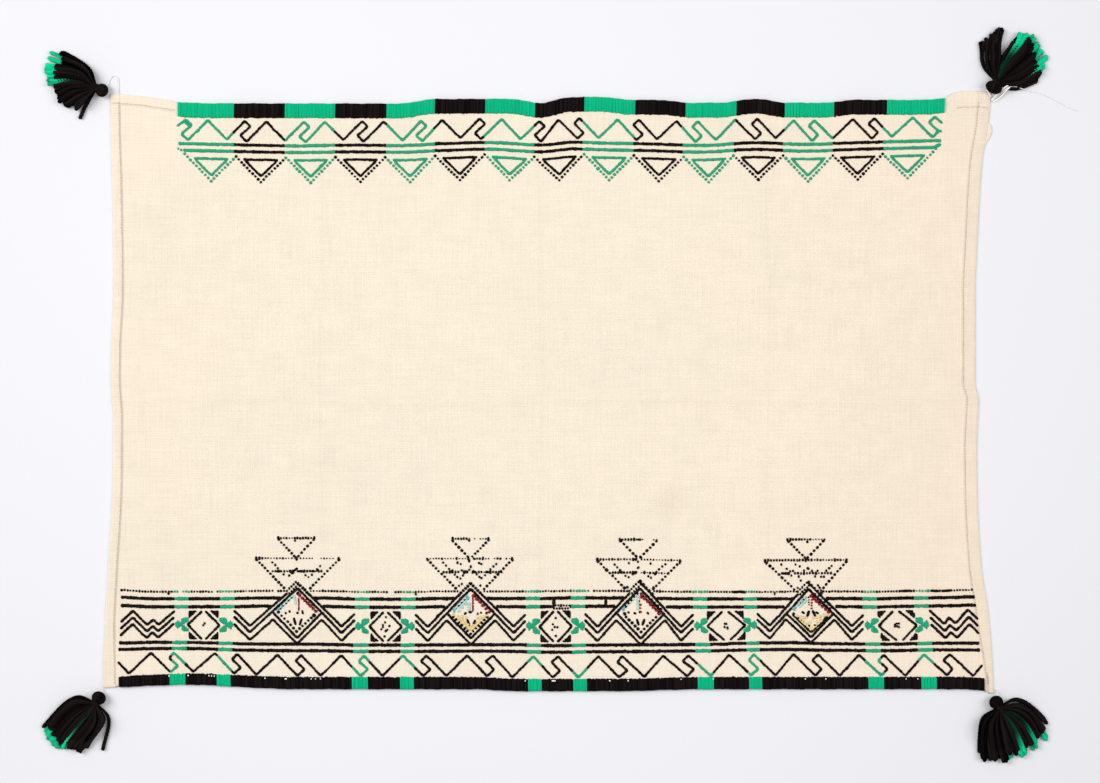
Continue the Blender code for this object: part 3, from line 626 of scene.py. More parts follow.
def add_piece(name, points, faces, material, attribute, shades):
    """A smooth-shaded object from points in millimetres and arrays of faces with as many corners each.

    Its points carry an attribute for the material: their yarn's tone with painted shade, or how dark the
    cloth is at its seams, doubled hems and creases, partly by painted shade.
    """
    mesh = bpy.data.meshes.new(name)
    loops = np.concatenate([part.ravel() for part in faces]).astype(np.int32)
    corners = np.concatenate([np.full(len(part), part.shape[1]) for part in faces])
    starts = np.concatenate([[0], np.cumsum(corners)[:-1]]).astype(np.int32)
    mesh.vertices.add(len(points))
    mesh.vertices.foreach_set("co", (np.asarray(points, float) * MM).astype(np.float32).ravel())
    mesh.loops.add(len(loops))
    mesh.loops.foreach_set("vertex_index", loops)
    mesh.polygons.add(len(starts))
    mesh.polygons.foreach_set("loop_start", starts)
    mesh.polygons.foreach_set("use_smooth", np.ones(len(starts), bool))
    mesh.update(calc_edges=True)
    mesh.validate()
    layer = mesh.attributes.new(attribute, "FLOAT", "POINT")
    layer.data.foreach_set("value", np.asarray(shades, np.float32).ravel())
    mesh.materials.append(material)
    made = bpy.data.objects.new(name, mesh)
    bpy.context.scene.collection.objects.link(made)
    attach(made, BODY)
    return made


def tangents(paths):
    """Unit vectors along each path of an array (path, point, 3)."""
    ahead = np.gradient(paths, axis=1)
    return ahead / np.maximum(np.linalg.norm(ahead, axis=2, keepdims=True), 1e-9)


def level_across(paths):
    """Unit vectors to the left of each path and level."""
    ahead = tangents(paths)
    left = np.stack([-ahead[..., 1], ahead[..., 0], np.zeros(ahead.shape[:2])], axis=2)
    return left / np.maximum(np.linalg.norm(left, axis=2, keepdims=True), 1e-9)


def tube_faces(count, stations, sides):
    """Faces of closed tubes: quads between rings of points, and fans to the two poles that follow them."""
    k, a = np.meshgrid(np.arange(stations - 1), np.arange(sides), indexing="ij")
    b = (a + 1) % sides
    quads = np.stack([k * sides + a, k * sides + b, (k + 1) * sides + b, (k + 1) * sides + a], axis=2)
    a = np.arange(sides)
    b = (a + 1) % sides
    first_pole, last_ring = stations * sides, (stations - 1) * sides
    caps = np.concatenate([np.stack([np.full(sides, first_pole), b, a], axis=1),
                           np.stack([np.full(sides, first_pole + 1), last_ring + a, last_ring + b], axis=1)])
    shift = (np.arange(count) * (first_pole + 2))[:, None, None]
    return [(quads.reshape(-1, 4) + shift).reshape(-1, 4), (caps + shift).reshape(-1, 3)]


def tubes(paths, across, wide, high, sides, plies=0, ply_depth=0.0, turns=0.0, end=0.7):
    """Points and faces of closed tubes along paths, an array (tube, station, 3).

    A ring's point at angle a is centre + (across cos a * wide + up sin a * high) * swell, with
    swell = 1 + depth cos(plies (a - turn)), where turn grows along the tube, so the plies wind round it.
    Each end closes on a pole just past the last ring.
    """
    count, stations, _ = paths.shape
    ahead = tangents(paths)
    up = np.cross(ahead, across)
    angle = np.arange(sides) * 2.0 * math.pi / sides
    turn = np.broadcast_to(turns, (count, stations))[..., None]
    swell = 1.0 + ply_depth * np.cos(plies * (angle - turn))
    wide = np.broadcast_to(wide, (count, stations))[..., None]
    high = np.broadcast_to(high, (count, stations))[..., None]
    offsets = (across[:, :, None] * (wide * np.cos(angle) * swell)[..., None]
               + up[:, :, None] * (high * np.sin(angle) * swell)[..., None])
    rings = paths[:, :, None] + offsets
    first = paths[:, :1] - ahead[:, :1] * high[:, :1] * end
    last = paths[:, -1:] + ahead[:, -1:] * high[:, -1:] * end
    points = np.concatenate([rings.reshape(count, -1, 3), first, last], axis=1)
    return points.reshape(-1, 3), tube_faces(count, stations, sides)


def tube_piece(name, paths, across, wide, high, sides, colour, tones, painted_side_shade=0.3, painted_root_shade=0.0, **twist):
    """One object of yarn, made of many tubes, each with its own tone.

    Painted shade darkens a tube by one share from its top down to its sides, and by another share set at each
    station, which darkens tassel strands towards their roots.
    """
    points, faces = tubes(paths, across, wide, high, sides, **twist)
    contrast = 1.0 if colour == "black" else 0.16
    own = (1.0 + contrast * (tones - 0.5))[:, None, None]
    along = 1.0 - np.broadcast_to(painted_root_shade, paths.shape[:2])[..., None]
    # Painted shade: a tube darkens down its sides and, at the stations set, towards a strand's root
    down = 1.0 - np.clip(np.sin(np.arange(sides) * 2.0 * math.pi / sides), 0.0, 1.0)
    rings = own * along * (1.0 - painted_side_shade * down)
    shades = np.concatenate([rings.reshape(len(paths), -1), rings[:, 0, :1], rings[:, -1, :1]], axis=1)
    return add_piece(name, points, faces, yarn(colour), "tone", shades)


def curve_through(points, count):
    """Points spaced evenly by the route's length on a smooth curve through a route's own points."""
    points = np.array(points, float)
    place = np.concatenate([[0.0], np.cumsum(np.linalg.norm(np.diff(points, axis=0), axis=1))])
    where = np.linspace(0.0, place[-1], count)
    lines = [smooth_line(list(zip(place, points[:, axis]))) for axis in range(3)]
    return np.stack([line(where) for line in lines], axis=1)


def cloth_grid(spacing):
    """X and Y of the cloth's grid lines, which are closer together along hems and creases.

    A column's X is left edge * (1 - s) + right edge * s + c + h * hem width, all at its own Y: s is 0 for a
    column that keeps its distance c from the left edge, 1 from the right, and between them for the rest. A
    row's Y follows the head and foot edges in the same way. A few turns settle both.
    """
    near, by_hem = np.array(SIDE_LINES).T
    left, right = left_edge(0.0), right_edge(0.0)
    inner = with_creases(np.arange(left + EVEN_FROM, right - EVEN_FROM, spacing), CREASES_X)
    share = (inner - left) / (right - left)
    across = np.concatenate([np.zeros(len(near)), share, np.ones(len(near))])[:, None]
    fixed = np.concatenate([near, inner - between((left, right), share), -near[::-1]])[:, None]
    left_by = np.concatenate([by_hem, np.zeros(len(inner) + len(near))])[:, None]
    right_by = left_by[::-1]
    head, foot = cloth_head(0.0), cloth_foot(0.0)
    middle = with_creases(np.arange(foot + EVEN_FROM, head - EVEN_FROM, spacing), (CREASE_Y,))[::-1]
    down = (head - middle) / (head - foot)
    along = np.concatenate([np.zeros(len(HEAD_LINES)), down, np.ones(len(FOOT_LINES))])
    set_down = np.concatenate([-np.array(HEAD_LINES), middle - between((head, foot), down), FOOT_LINES])
    x = np.zeros((len(across), len(along))) + left + across * (right - left)
    y = np.zeros_like(x) + head + along * (foot - head)
    for _ in range(5):
        left_hem, right_hem = hem_widths(y)
        x = between((left_edge(y), right_edge(y)), across) + fixed + left_by * left_hem - right_by * right_hem
        y = between((cloth_head(x), cloth_foot(x)), along) + set_down
    return x, y


def with_creases(places, creases):
    """Grid places with closer ones at each crease instead of those near it."""
    for crease in creases:
        kept = places[np.abs(places - crease) > 7.0]
        places = np.sort(np.concatenate([kept, crease + np.arange(-6.0, 7.0, 2.0)]))
    return places


def sheet_faces(columns, rows):
    """Faces of a closed sheet: an upper and a lower grid of points, and the rim that joins them."""
    i, j = np.meshgrid(np.arange(columns - 1), np.arange(rows - 1), indexing="ij")
    a = (i * rows + j).ravel()
    upper = np.stack([a, a + 1, a + rows + 1, a + rows], axis=1)
    under = upper[:, ::-1] + columns * rows
    rim = np.concatenate([
        np.arange(columns) * rows,
        (columns - 1) * rows + np.arange(1, rows),
        np.arange(columns - 2, -1, -1) * rows + rows - 1,
        np.arange(rows - 2, 0, -1),
    ])
    after = np.roll(rim, -1)
    sides = np.stack([rim, after, after + columns * rows, rim + columns * rows], axis=1)
    return [upper, under, sides]


def sheet_points(x, y, over, under):
    """Points of a closed sheet: its upper grid and then its lower one."""
    grids = [np.stack(np.broadcast_arrays(x, y, z), axis=2).reshape(-1, 3) for z in (over, under)]
    return np.concatenate(grids)


def seam_and_shade_darkness(x, y):
    """How dark seams and creases are: a narrow peak along each hem's inner line, partly the line's own colour
    and partly painted shade in its groove, the doubled hems, and painted shade along each crease.
    """
    lines = hem_lines(x, y)
    sewn = [dark * np.exp(-(((line - 0.3) / 0.6) ** 2)) for line, dark in zip(lines, SEAM_LINES_AND_SHADE)]
    doubled = [dark * ease(line / 2.0) for line, dark in zip(lines, DOUBLED)]
    creased = CREASE_PAINTED_SHADE * crease_ridge(x, y) / CREASE_HIGH
    return np.clip(np.maximum.reduce(sewn) + np.maximum.reduce(doubled) + creased, 0.0, 1.0)


def colour_setting(name, description, default):
    """A colour that a user can change."""
    return bpy.props.FloatVectorProperty(name=name, description=description, default=default, subtype="COLOR",
                                         size=3, min=0.0, max=1.0)


def length_setting(name, description, default, least=0.0005):
    """A length in metres that a user can change."""
    return bpy.props.FloatProperty(name=name, description=description, default=default, min=least,
                                   unit="LENGTH")


class ClothSettings(bpy.types.PropertyGroup):
    """Sizes and colours of the cotton cloth."""

    spacing: length_setting("Grid spacing", "Distance between the cloth's grid lines", 0.0054, 0.003)
    weave_pitch: length_setting("Weave pitch", "Width of one block of the basket weave", STITCH * MM)
    weave_strength: bpy.props.FloatProperty(
        name="Weave depth", description="How strongly the weave shows", default=0.45, min=0.0, max=1.0)
    colour: colour_setting("Cotton", "Colour of the clean cotton", (0.885, 0.785, 0.635))
    warm_colour: colour_setting("Cotton, warm", "Colour where the cotton is warmer", (0.885, 0.745, 0.590))
    # Colour mixed in at the seams: partly the sewn lines' own colour, partly painted shade in their grooves
    # and along the creases
    seam_and_shade_colour: colour_setting("Seams", "Colour in the hems' sewn lines", (0.50, 0.39, 0.27))
    stain_colour: colour_setting("Stain", "Colour of the faint stain", (0.62, 0.47, 0.30))
    stain_place: bpy.props.FloatVectorProperty(
        name="Stain's place", description="Middle of the stain", subtype="TRANSLATION", size=3,
        default=(0.150, -0.138, 0.002), unit="LENGTH")


class YarnSettings(bpy.types.PropertyGroup):
    """Sizes and colours of the yarn and thread."""

    black: colour_setting("Black yarn", "Colour of the black yarn", (0.0115, 0.0080, 0.0084))
    green: colour_setting("Green yarn", "Colour of the green yarn", (0.0023, 0.548, 0.2622))
    sewn_green: colour_setting("Sewn green", "Colour of the green yarn in stitches", (0.016, 0.375, 0.190))
    red: colour_setting("Red yarn", "Colour of the red yarn", (0.36, 0.012, 0.022))
    blue: colour_setting("Blue yarn", "Colour of the blue yarn", (0.13, 0.47, 0.56))
    pale: colour_setting("Pale blue yarn", "Colour of the pale blue yarn", (0.46, 0.72, 0.66))
    hem: colour_setting("Hem thread", "Colour of the thread in the hems", (0.62, 0.47, 0.30))
    yellow: colour_setting("Yellow yarn", "Colour of the yellow yarn", (0.84, 0.64, 0.26))
    white: colour_setting("White thread", "Colour of the sewing thread", (0.93, 0.91, 0.88))
    stitch_width: length_setting("Stitch width", "Width of the yarn in a stitch", 0.0036)
    wrap_pitch: length_setting("Wrap pitch", "Distance between wraps along an edge", 0.0018)
    strand_width: length_setting("Tassel yarn", "Thickness of a tassel's strand", 0.0048, 0.001)
    strand_twist: length_setting("Tassel twist", "Length of one turn of a strand's plies", 0.0125, 0.002)


class StageSettings(bpy.types.PropertyGroup):
    """The floor, the light and the camera."""

    floor_colour: colour_setting("Floor", "Colour of the floor", (0.80, 0.80, 0.83))
    fill: bpy.props.FloatProperty(
        name="Fill", description="Strength of the even light from all round", default=0.55, min=0.0)
    key: bpy.props.FloatProperty(
        name="Side lights", description="Power of each side light", default=110.0, min=0.0, unit="POWER")
    lens: bpy.props.FloatProperty(
        name="Lens", description="Focal length of the camera in millimetres", default=70.0, min=20.0)


def yarn(colour_name):
    """The finish of one of the yarns, made once."""
    name = f"{colour_name} yarn"
    sheen = 0.0 if colour_name == "black" else 0.05
    colour = getattr(bpy.context.scene.manta_yarn, colour_name)
    return bpy.data.materials.get(name) or yarn_finish(name, colour, sheen)


class MANTA_OT_cloth(bpy.types.Operator):
    """Weave and hem the cloth"""

    bl_idname = "manta.cloth"
    bl_label = "Cloth"

    def execute(self, context):
        settings = context.scene.manta_cloth
        x, y = cloth_grid(settings.spacing / MM)
        points = sheet_points(x, y, cloth_top(x, y), underside(x, y))
        # Darkness of the seams and doubled hems, with painted shade in the seams' grooves and along the
        # creases
        worn = np.concatenate([seam_and_shade_darkness(x, y).ravel(), np.zeros(x.size)])
        cloth = add_piece("cloth", points, sheet_faces(*x.shape), cotton_finish(settings), "worn", worn)
        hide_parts("cloth_panel")
        return {"FINISHED"}


def leaning_across(paths, direction):
    """Unit vectors square to each path, as near as they come to a direction."""
    ahead = tangents(paths)
    leaning = direction - ahead * (direction * ahead).sum(axis=2, keepdims=True)
    return leaning / np.linalg.norm(leaning, axis=2, keepdims=True)


def wrap_run(node, start, end, line, inward, depth_at, lift_at, colour, seed):
    """The wraps of one run, side by side, with uneven inner ends and tones. Each two share a hole.

    Seen along the edge, a wrap comes up through the cloth, runs out over it, round the edge and back
    underneath. A point's distance in from the edge is share * depth + inset - what it bags out.
    """
    share, inset, height, bagged, parted = np.array(WRAP_PROFILE).T
    pitch = bpy.context.scene.manta_yarn.wrap_pitch / MM
    count = 2 * max(1, round(0.5 * (end - start) / pitch))
    step = (end - start) / count
    chance = np.random.default_rng(seed)
    places = start + step * (np.arange(count) + 0.5)
    places[1:-1] += chance.normal(0.0, 0.05, count - 2)
    depths = depth_at(places) - 0.9 + chance.normal(0.0, 0.3, count)
    from_pair = 0.06 * step * np.tile([1.0, -1.0], count // 2)
    loose = 0.22 * np.sin(places / 6.1) + 0.16 * np.sin(places / 2.3 + 1.0) + chance.normal(0.0, 0.08, count)
    lean = np.linspace(0.0, 0.6 * step, len(height))
    x = places[:, None] + lean + from_pair[:, None] * parted
    y = line(places)[:, None] + inward * (share * depths[:, None] + inset - loose[:, None] * bagged)
    z = height + (lift_at(places) + chance.normal(0.0, 0.07, count))[:, None]
    paths = np.stack([x, y, z], axis=2)
    across = leaning_across(paths, np.array([inward, 0.0, 0.0]))
    # Painted shade darkens each wrap down its sides, where it meets its neighbours
    piece = tube_piece(node.replace("binding", "wraps"), paths, across, 0.57 * step, WRAP_HALF_HIGH, 8,
                       colour, chance.random(count), painted_side_shade=0.85)
    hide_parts(node)


def upper_depth(x):
    """How far in from the upper edge its wraps go."""
    return np.full_like(x, UPPER_WRAP_IN)


def lower_depth(x):
    """How far in from the lower edge its wraps go: further from some way along."""
    return between(LOWER_WRAP_IN, ease((x - LOWER_RUNS[0][1]) / LOWER_WRAP_TURN))


class MANTA_OT_wraps(bpy.types.Operator):
    """Wrap the upper and lower edges with runs of yarn"""

    bl_idname = "manta.wraps"
    bl_label = "Wrapped edges"

    def execute(self, context):
        for number, (node, start, end) in enumerate(UPPER_RUNS):
            colour = "black" if number % 2 else "green"
            wrap_run(node, start, end, top_line, -1.0, upper_depth, edge_lift, colour, 100 + number)
        for number, (node, start, end) in enumerate(LOWER_RUNS):
            colour = "green" if number % 2 else "black"
            wrap_run(node, start, end, bottom_line, 1.0, lower_depth, np.zeros_like, colour, 200 + number)
        self.add_flecks()
        return {"FINISHED"}

    def add_flecks(self):
        """Short level pieces of white thread that show between the lower wraps."""
        middle, length = np.array(FLECKS).T[..., None]
        x = middle + 0.5 * length * np.array([-1.0, 0.0, 1.0])
        y = bottom_line(x) + lower_depth(x) - FLECK_IN
        paths = np.stack([x, y, np.full_like(x, FLECK_HIGH)], axis=2)
        flecks = tube_piece("binding_flecks", paths, level_across(paths), 0.85, 0.7, 8, "white",
                            np.ones(len(paths)), painted_side_shade=0.0)


class Stitches:
    """Stitches gathered by their start and end on the chart, with a size and a colour for each."""

    def __init__(self, place_of, seed):
        self.place_of = place_of
        self.chance = np.random.default_rng(seed)
        self.ends = []
        self.sizes = []
        self.colours = []

    def add(self, starts, ends, size=1.0, colour=""):
        """Stitches from each start to each end."""
        starts = np.array(starts, float).reshape(-1, 2)
        self.ends.append(np.concatenate([starts, np.array(ends, float).reshape(-1, 2)], axis=1))
        self.sizes.append(np.broadcast_to(np.array(size, float), len(starts)))
        self.colours.append(np.full(len(starts), colour, object))

    def count(self, way):
        """How many stitches a straight way takes: one to a thread block, across it where the way slants."""
        slanted = np.abs(way).min() > 0.2 * np.abs(way).max()
        return max(1, round(float(np.hypot(*way)) / (BLOCK * math.sqrt(2.0) if slanted else BLOCK)))

    def line(self, points, size=1.0, colour=""):
        """Stitches end to end through chart points, each a little longer than its pitch."""
        points = np.array(points, float)
        for first, last in zip(points, points[1:]):
            way = last - first
            count = self.count(way)
            middle = (np.arange(count)[:, None] + 0.5) / count
            half = 0.5 * LINE_SHARE / count
            self.add(first + way * (middle - half), first + way * (middle + half), size, colour)

    def dots(self, points, size=0.94, colour="", uneven=0.08, missing=0.0):
        """Separate stitches through chart points, also at their corners. Sizes vary, and some are missing."""
        points = np.array(points, float)
        for number, (first, last) in enumerate(zip(points, points[1:])):
            way = last - first
            count = self.count(way)
            middle = np.arange(int(number > 0), count + 1)[:, None] / count
            middle = middle[self.chance.random(len(middle)) >= missing]
            varied = np.clip(self.chance.normal(1.0, uneven, len(middle)), 0.4, 1.5)
            half = 0.5 * DOT_SHARE * varied[:, None] / count
            self.add(first + way * (middle - half), first + way * (middle + half), size * varied, colour)

    def row(self, start, end, row, chart):
        """A level row of dots and dashes, from a chart with one mark for each thread block."""
        columns = np.linspace(start, end, len(chart))
        for mark, (long, size) in ROW_MARKS.items():
            column = columns[[found == mark for found in chart]]
            places = np.stack([column, np.full(len(column), row)], axis=1)
            self.add(places - (0.5 * long, 0.0), places + (0.5 * long, 0.0), size)

    def fill(self, corners, pitch=0.62, size=0.8, colour=""):
        """Upright stitches side by side, from the upper to the lower side of the shape with these corners."""
        corners = np.array(corners, float)
        low, high = corners[:, 0].min(), corners[:, 0].max()
        count = max(2, round((high - low) / pitch))
        column = (low + (high - low) * (np.arange(count) + 0.5) / count)[:, None]
        first, last = corners, np.roll(corners, -1, axis=0)
        crossed = (first[:, 0] - column) * (last[:, 0] - column) < 0.0
        rise = (last[:, 1] - first[:, 1]) / np.where(first[:, 0] == last[:, 0], 1.0, last[:, 0] - first[:, 0])
        row = first[:, 1] + (column - first[:, 0]) * rise
        top = np.where(crossed, row, np.inf).min(axis=1, keepdims=True) - FILL_OVER
        foot = np.where(crossed, row, -np.inf).max(axis=1, keepdims=True) + FILL_OVER
        self.add(np.concatenate([column, top], axis=1), np.concatenate([column, foot], axis=1), size, colour)

    def spots(self, points, size=1.05, colour=""):
        """Single short stitches at chart points."""
        points = np.array(points, float).reshape(-1, 2)
        half = (0.5 * DOT_LONG, 0.0)
        self.add(points - half, points + half, size, colour)

    def sew_chart(self, middle, chart):
        """Sew a chart: how each mark is sewn, its colour and size, and its places from the middle column."""
        for kind, colour, size, places in chart:
            points = np.array(places, float) + (middle, 0.0)
            if kind == "line":
                self.line(points, size, colour)
            elif kind == "dots":
                self.dots(points, size, colour)
            elif kind == "spots":
                self.spots(points, size, colour)
            else:
                self.add(points[::2], points[1::2], size, colour)

    def sew(self, name, is_green):
        """One piece for each colour. A stitch is a short plump tube that dips into the cloth at its ends."""
        ends = np.concatenate(self.ends)
        sizes = np.concatenate(self.sizes)
        named = np.concatenate(self.colours)
        first = np.stack(self.place_of(ends[:, 0], ends[:, 1]), axis=1)
        last = np.stack(self.place_of(ends[:, 2], ends[:, 3]), axis=1)
        first += self.chance.normal(0.0, STITCH_WANDER, first.shape)
        last += self.chance.normal(0.0, STITCH_WANDER, last.shape)
        middle = 0.5 * (first + last)
        by_place = np.where(is_green(middle[:, 0], middle[:, 1]), "sewn_green", "black")
        colours = np.where(named == "", by_place, named)
        width = bpy.context.scene.manta_yarn.stitch_width / MM
        share, rise, plump = np.array(STITCH_PROFILE).T
        for colour in sorted(set(colours)):
            chosen = colours == colour
            plan = first[chosen, None] + (last - first)[chosen, None] * share[:, None]
            height = cloth_top(plan[..., 0], plan[..., 1]) + rise
            paths = np.concatenate([plan, height[..., None]], axis=2)
            size = (sizes[chosen] * self.chance.normal(1.0, 0.07, chosen.sum()))[:, None]
            piece = tube_piece(f"{name}_{colour}", paths, level_across(paths), 0.5 * width * size * plump,
                               STITCH_HALF_HIGH * plump * np.sqrt(size), 6, colour,
                               self.chance.random(chosen.sum()))


def cut(stretch, bounds):
    """A level stretch of a line, cut wherever its yarn changes."""
    (start, row), (end, _) = stretch
    marks = [start, *sorted(bound for bound in bounds if start < bound < end), end]
    return [((first, row), (last, row)) for first, last in zip(marks, marks[1:])]


def upper_place(column, row):
    """Place on the cloth of the upper chart's columns, from the middle, and rows, from its first line."""
    x = column * STITCH
    return x, UPPER_LINE - row * STITCH + upper_drift(x)


def lower_place(column, row):
    """Place on the cloth of the lower chart's columns, from the middle, and rows, from its first line.

    The drift turns from the upper lines' to the lower lines', and then to the bound edge's at the foot.
    """
    x = column * STITCH
    y = LOWER_LINE - row * STITCH
    foot_drift = bottom_line(x) - EDGE_LEVEL
    upper_share = ease((y - LOWER_FOOT_LINE) / (LOWER_LINE - LOWER_FOOT_LINE))
    lower_share = np.clip((LOWER_FOOT_LINE - y) / FOOT_TURN, 0.0, 1.0)
    drift = upper_share * lower_top_drift(x) + (1.0 - upper_share) * lower_foot_drift(x)
    return x, y + drift * (1.0 - lower_share) + foot_drift * lower_share


# How far the upper border's colours start to the left of the wraps' colours, by X, and how much earlier the
# first of them does
UPPER_SHIFTS = ((-100.0, 0.0), (179.0, 2.8), (236.0, 3.0), (297.0, 1.3), (360.0, 1.5), (415.0, 3.6))
FIRST_EARLIER = 3.0


def upper_shift(x):
    """How far the border's colours start to the left of the wraps' colours."""
    return np.interp(x, *zip(*UPPER_SHIFTS))


def upper_is_green(x, y):
    """Which parts of the upper border are green: those under the edge's green runs, less the shift."""
    place = x + upper_shift(x)
    _, starts, ends = zip(*UPPER_RUNS[::2])
    starts = (starts[0] - FIRST_EARLIER, *starts[1:])
    return np.any([(place >= start) & (place < end) for start, end in zip(starts, ends)], axis=0)


def upper_bounds():
    """Chart columns where the upper border's yarn changes."""
    ends = np.array([end for _, _, end in UPPER_RUNS[:-1]])
    return list((ends - upper_shift(ends)) / STITCH)


# Green columns of the lower border at its first lines: start and end along X, and the Y where they begin and
# end their lean
GREEN_COLUMNS = (
    (-475.0, -457.2), (-417.2, -398.8), (-246.0, -227.8), (-187.5, -169.2), (-29.6, -11.3), (27.7, 46.0),
    (182.8, 200.8), (247.0, 263.7), (397.6, 415.9), (463.2, 481.3),
)
GREEN_LEAN = (-265.0, -367.0)


def green_bounds(y):
    """Start and end of the lower border's green columns at Y: they lean towards the edge's green runs."""
    share = np.clip((GREEN_LEAN[0] - y) / (GREEN_LEAN[0] - GREEN_LEAN[1]), 0.0, 1.0)
    found = []
    for (start, end), (_, low, high) in zip(GREEN_COLUMNS, LOWER_RUNS[1::2]):
        found.append((start + (low - start) * share, end + (high - end) * share))
    return found


def lower_bounds(row):
    """Chart columns where the yarn of a row of the lower border changes."""
    return [place / STITCH for bounds in green_bounds(LOWER_LINE - row * STITCH) for place in bounds]


def lower_is_green(x, y):
    """Which parts of the lower border are green."""
    return np.any([(x >= start) & (x < end) for start, end in green_bounds(y)], axis=0)


# Charts, in stitches: columns from the cloth's middle, rows down from the border's first line
UPPER_HOOKS = (-145.8, -122.2, -98.5, -75.1, -51.5, -27.9, -3.9, 12.3, 36.1, 59.8, 83.7, 106.6, 130.7, 155.0)
UPPER_PEAKS = (-137.1, -113.5, -90.1, -66.4, -42.9, -19.0, 3.8, 27.6, 51.2, 74.8, 98.3, 122.1, 146.2)
UPPER_LOWS = (-129.6, -106.2, -82.7, -58.8, -35.6, -11.5, 19.8, 43.4, 67.1, 91.1, 114.1, 137.8)
UPPER_ENDS = ((-149.3, -7.2), (158.0, -7.2))
LEFT_HOOKS = 7
PEAK_ROW, LOW_ROW = -9.6, -2.1
UPPER_LINES = (((-148.9, -0.1), (157.6, -0.1)), ((-146.9, 2.6), (154.9, 2.6)))
# The row of triangles: half width and row of the upper side, half width and rows of the other two, half width
# and last row of the dots round them, and the dots' half widths at the row's left and right end
TRIANGLES, TRIANGLE_FIRST, TRIANGLE_PITCH = 15, -135.85, 20.0
TRIANGLE_HALF, TRIANGLE_ROW = 6.9, 5.75
SIDES_HALF, SIDES_ROW, POINT_ROW = 6.2, 6.3, 12.4
DOTS_HALF, DOTS_ROW = 10.0, 14.7
FIRST_DOTS_HALF, LAST_DOTS_HALF = 10.7, 11.5
LOWER_HOOKS = (
    # columns of a hook's foot, its right and left elbow, its top, the foot after it and the peak after that
    (-152.1, -149.2, -152.6, -150.9, -142.9, -134.3), (-126.5, -123.9, -127.3, -125.3, -117.6, -109.2),
    (-101.1, -98.3, -101.9, -99.7, -91.7, -83.5), (-75.7, -72.9, -76.4, -74.4, -66.9, -58.8),
    (-50.5, -47.5, -51.5, -49.2, -41.2, -32.9), (-24.9, -22.1, -25.4, -22.6, -14.7, -6.3),
    (1.5, 4.5, 1.1, 3.6, 11.9, 19.8), (28.2, 31.5, 27.5, 29.6, 38.3, 45.9),
    (55.4, 58.3, 53.8, 56.0, 64.9, 72.4), (81.3, 84.0, 80.4, 82.3, 91.0, 98.3),
    (107.0, 109.5, 105.9, 108.2, 116.8, 124.6), (133.6, 136.1, 132.4, 134.5, 143.2, 150.8),
    (159.9, 162.2, 158.6, 161.2, 170.4, 174.4),
)
HOOK_ROWS = (30.8, 28.2, 24.9, 22.6, 30.8, 22.6)
HOOKS_START, HOOKS_END = ((-173.2, 26.0), (-168.7, 30.8), (-160.0, 22.6)), (174.2, 26.6)
# The dotted line and the long lines under it: half the gap at a diamond, row, first and last column, and a
# break's start and end
LOWER_DOTS = (5.4, -2.95, -171.8, 170.0)
LOWER_LINES = (
    (6.6, -0.1, -172.1, 171.1, ()), (10.3, 3.2, -172.1, 171.7, (2.2, 8.4)), (0.0, 18.3, -172.7, 172.9, ()),
    (0.0, 20.9, -173.0, 173.3, ()),
)
LEFT_ZIGZAG = ((-172.1, 9.9), (-167.2, 5.15), (-161.5, 11.0), (-159.2, 8.65), (-157.0, 10.9), (-150.6, 5.0))
RIGHT_ZIGZAG = ((153.0, 4.9), (158.9, 10.5), (161.0, 8.0), (163.5, 10.3), (168.5, 4.9), (172.3, 8.65))
ZIGZAGS = 3
DIAMONDS = (
    # middle, shift of its peak and of its foot, left and right low points and ends, and how its peak is edged
    (-101.2, 0.1, -0.1, (19.1, 17.8), (25.4, 23.1), ("dots", "ticks")),
    (-31.4, -0.1, 0.0, (17.3, 17.1), (22.3, 21.9), ("ticks", "ticks")),
    (36.8, -0.2, 0.1, (17.3, 16.3), (22.3, 21.2), ("dots", "line")),
    (104.9, -0.6, 0.4, (16.1, 16.9), (21.2, 21.5), ("dots", "line")),
)
BOXES = (
    # middle, half width, lean, and the dots in it
    (-138.9, 6.4, 0.0, ((0.4, 10.2), (-0.2, 11.1))),
    (-65.7, 6.5, 0.0, ((0.1, 7.2), (-0.2, 9.2), (-1.0, 10.3), (-1.0, 11.0), (-1.7, 12.0), (1.5, 10.6),
                       (0.7, 12.2), (0.1, 12.7), (-0.4, 14.8))),
    (2.7, 6.5, 0.0, ((0.0, 7.7), (-1.1, 10.0), (-0.4, 11.1), (0.8, 11.1), (-1.5, 12.2), (0.0, 14.5))),
    (71.3, 7.6, 0.5, ((-0.6, 10.0), (0.0, 10.2), (0.5, 12.0), (0.5, 11.5), (-0.7, 11.4))),
    (140.2, 7.7, 0.8, ((-1.1, 11.2), (-1.0, 10.5), (-0.4, 10.1), (-0.2, 11.2), (0.4, 10.0), (0.5, 11.5))),
)
# Rows of a box's diamond, then length, level row and point row of its filled corners
BOX_ROWS = (5.1, 10.9, 16.8)
CORNER_LONG, CORNER_ROWS = 3.0, ((5.0, 8.1), (16.8, 13.7))
BOW_PETALS = (
    # columns away from the box and rows: the blunt triangle, and the two petals on the box's side
    ((0.3, 10.7), (-0.8, 9.9), (-1.9, 8.9), (-2.5, 10.7), (-1.8, 12.6), (-0.7, 11.6)),
    ((0.1, 10.6), (-0.1, 8.4), (0.9, 7.9), (2.7, 8.0), (2.4, 9.4), (0.8, 10.5)),
    ((0.2, 11.0), (0.9, 11.1), (2.6, 12.8), (2.7, 13.6), (0.6, 13.6), (0.0, 12.8)),
)
BOWS = (
    # the point where a bow's parts meet, and the side that its box is on
    (-147.7, 1), (-129.7, -1), (-75.2, 1), (-56.7, -1), (-6.4, 1), (11.8, -1), (61.1, 1), (81.0, -1),
    (129.7, 1), (150.2, -1),
)

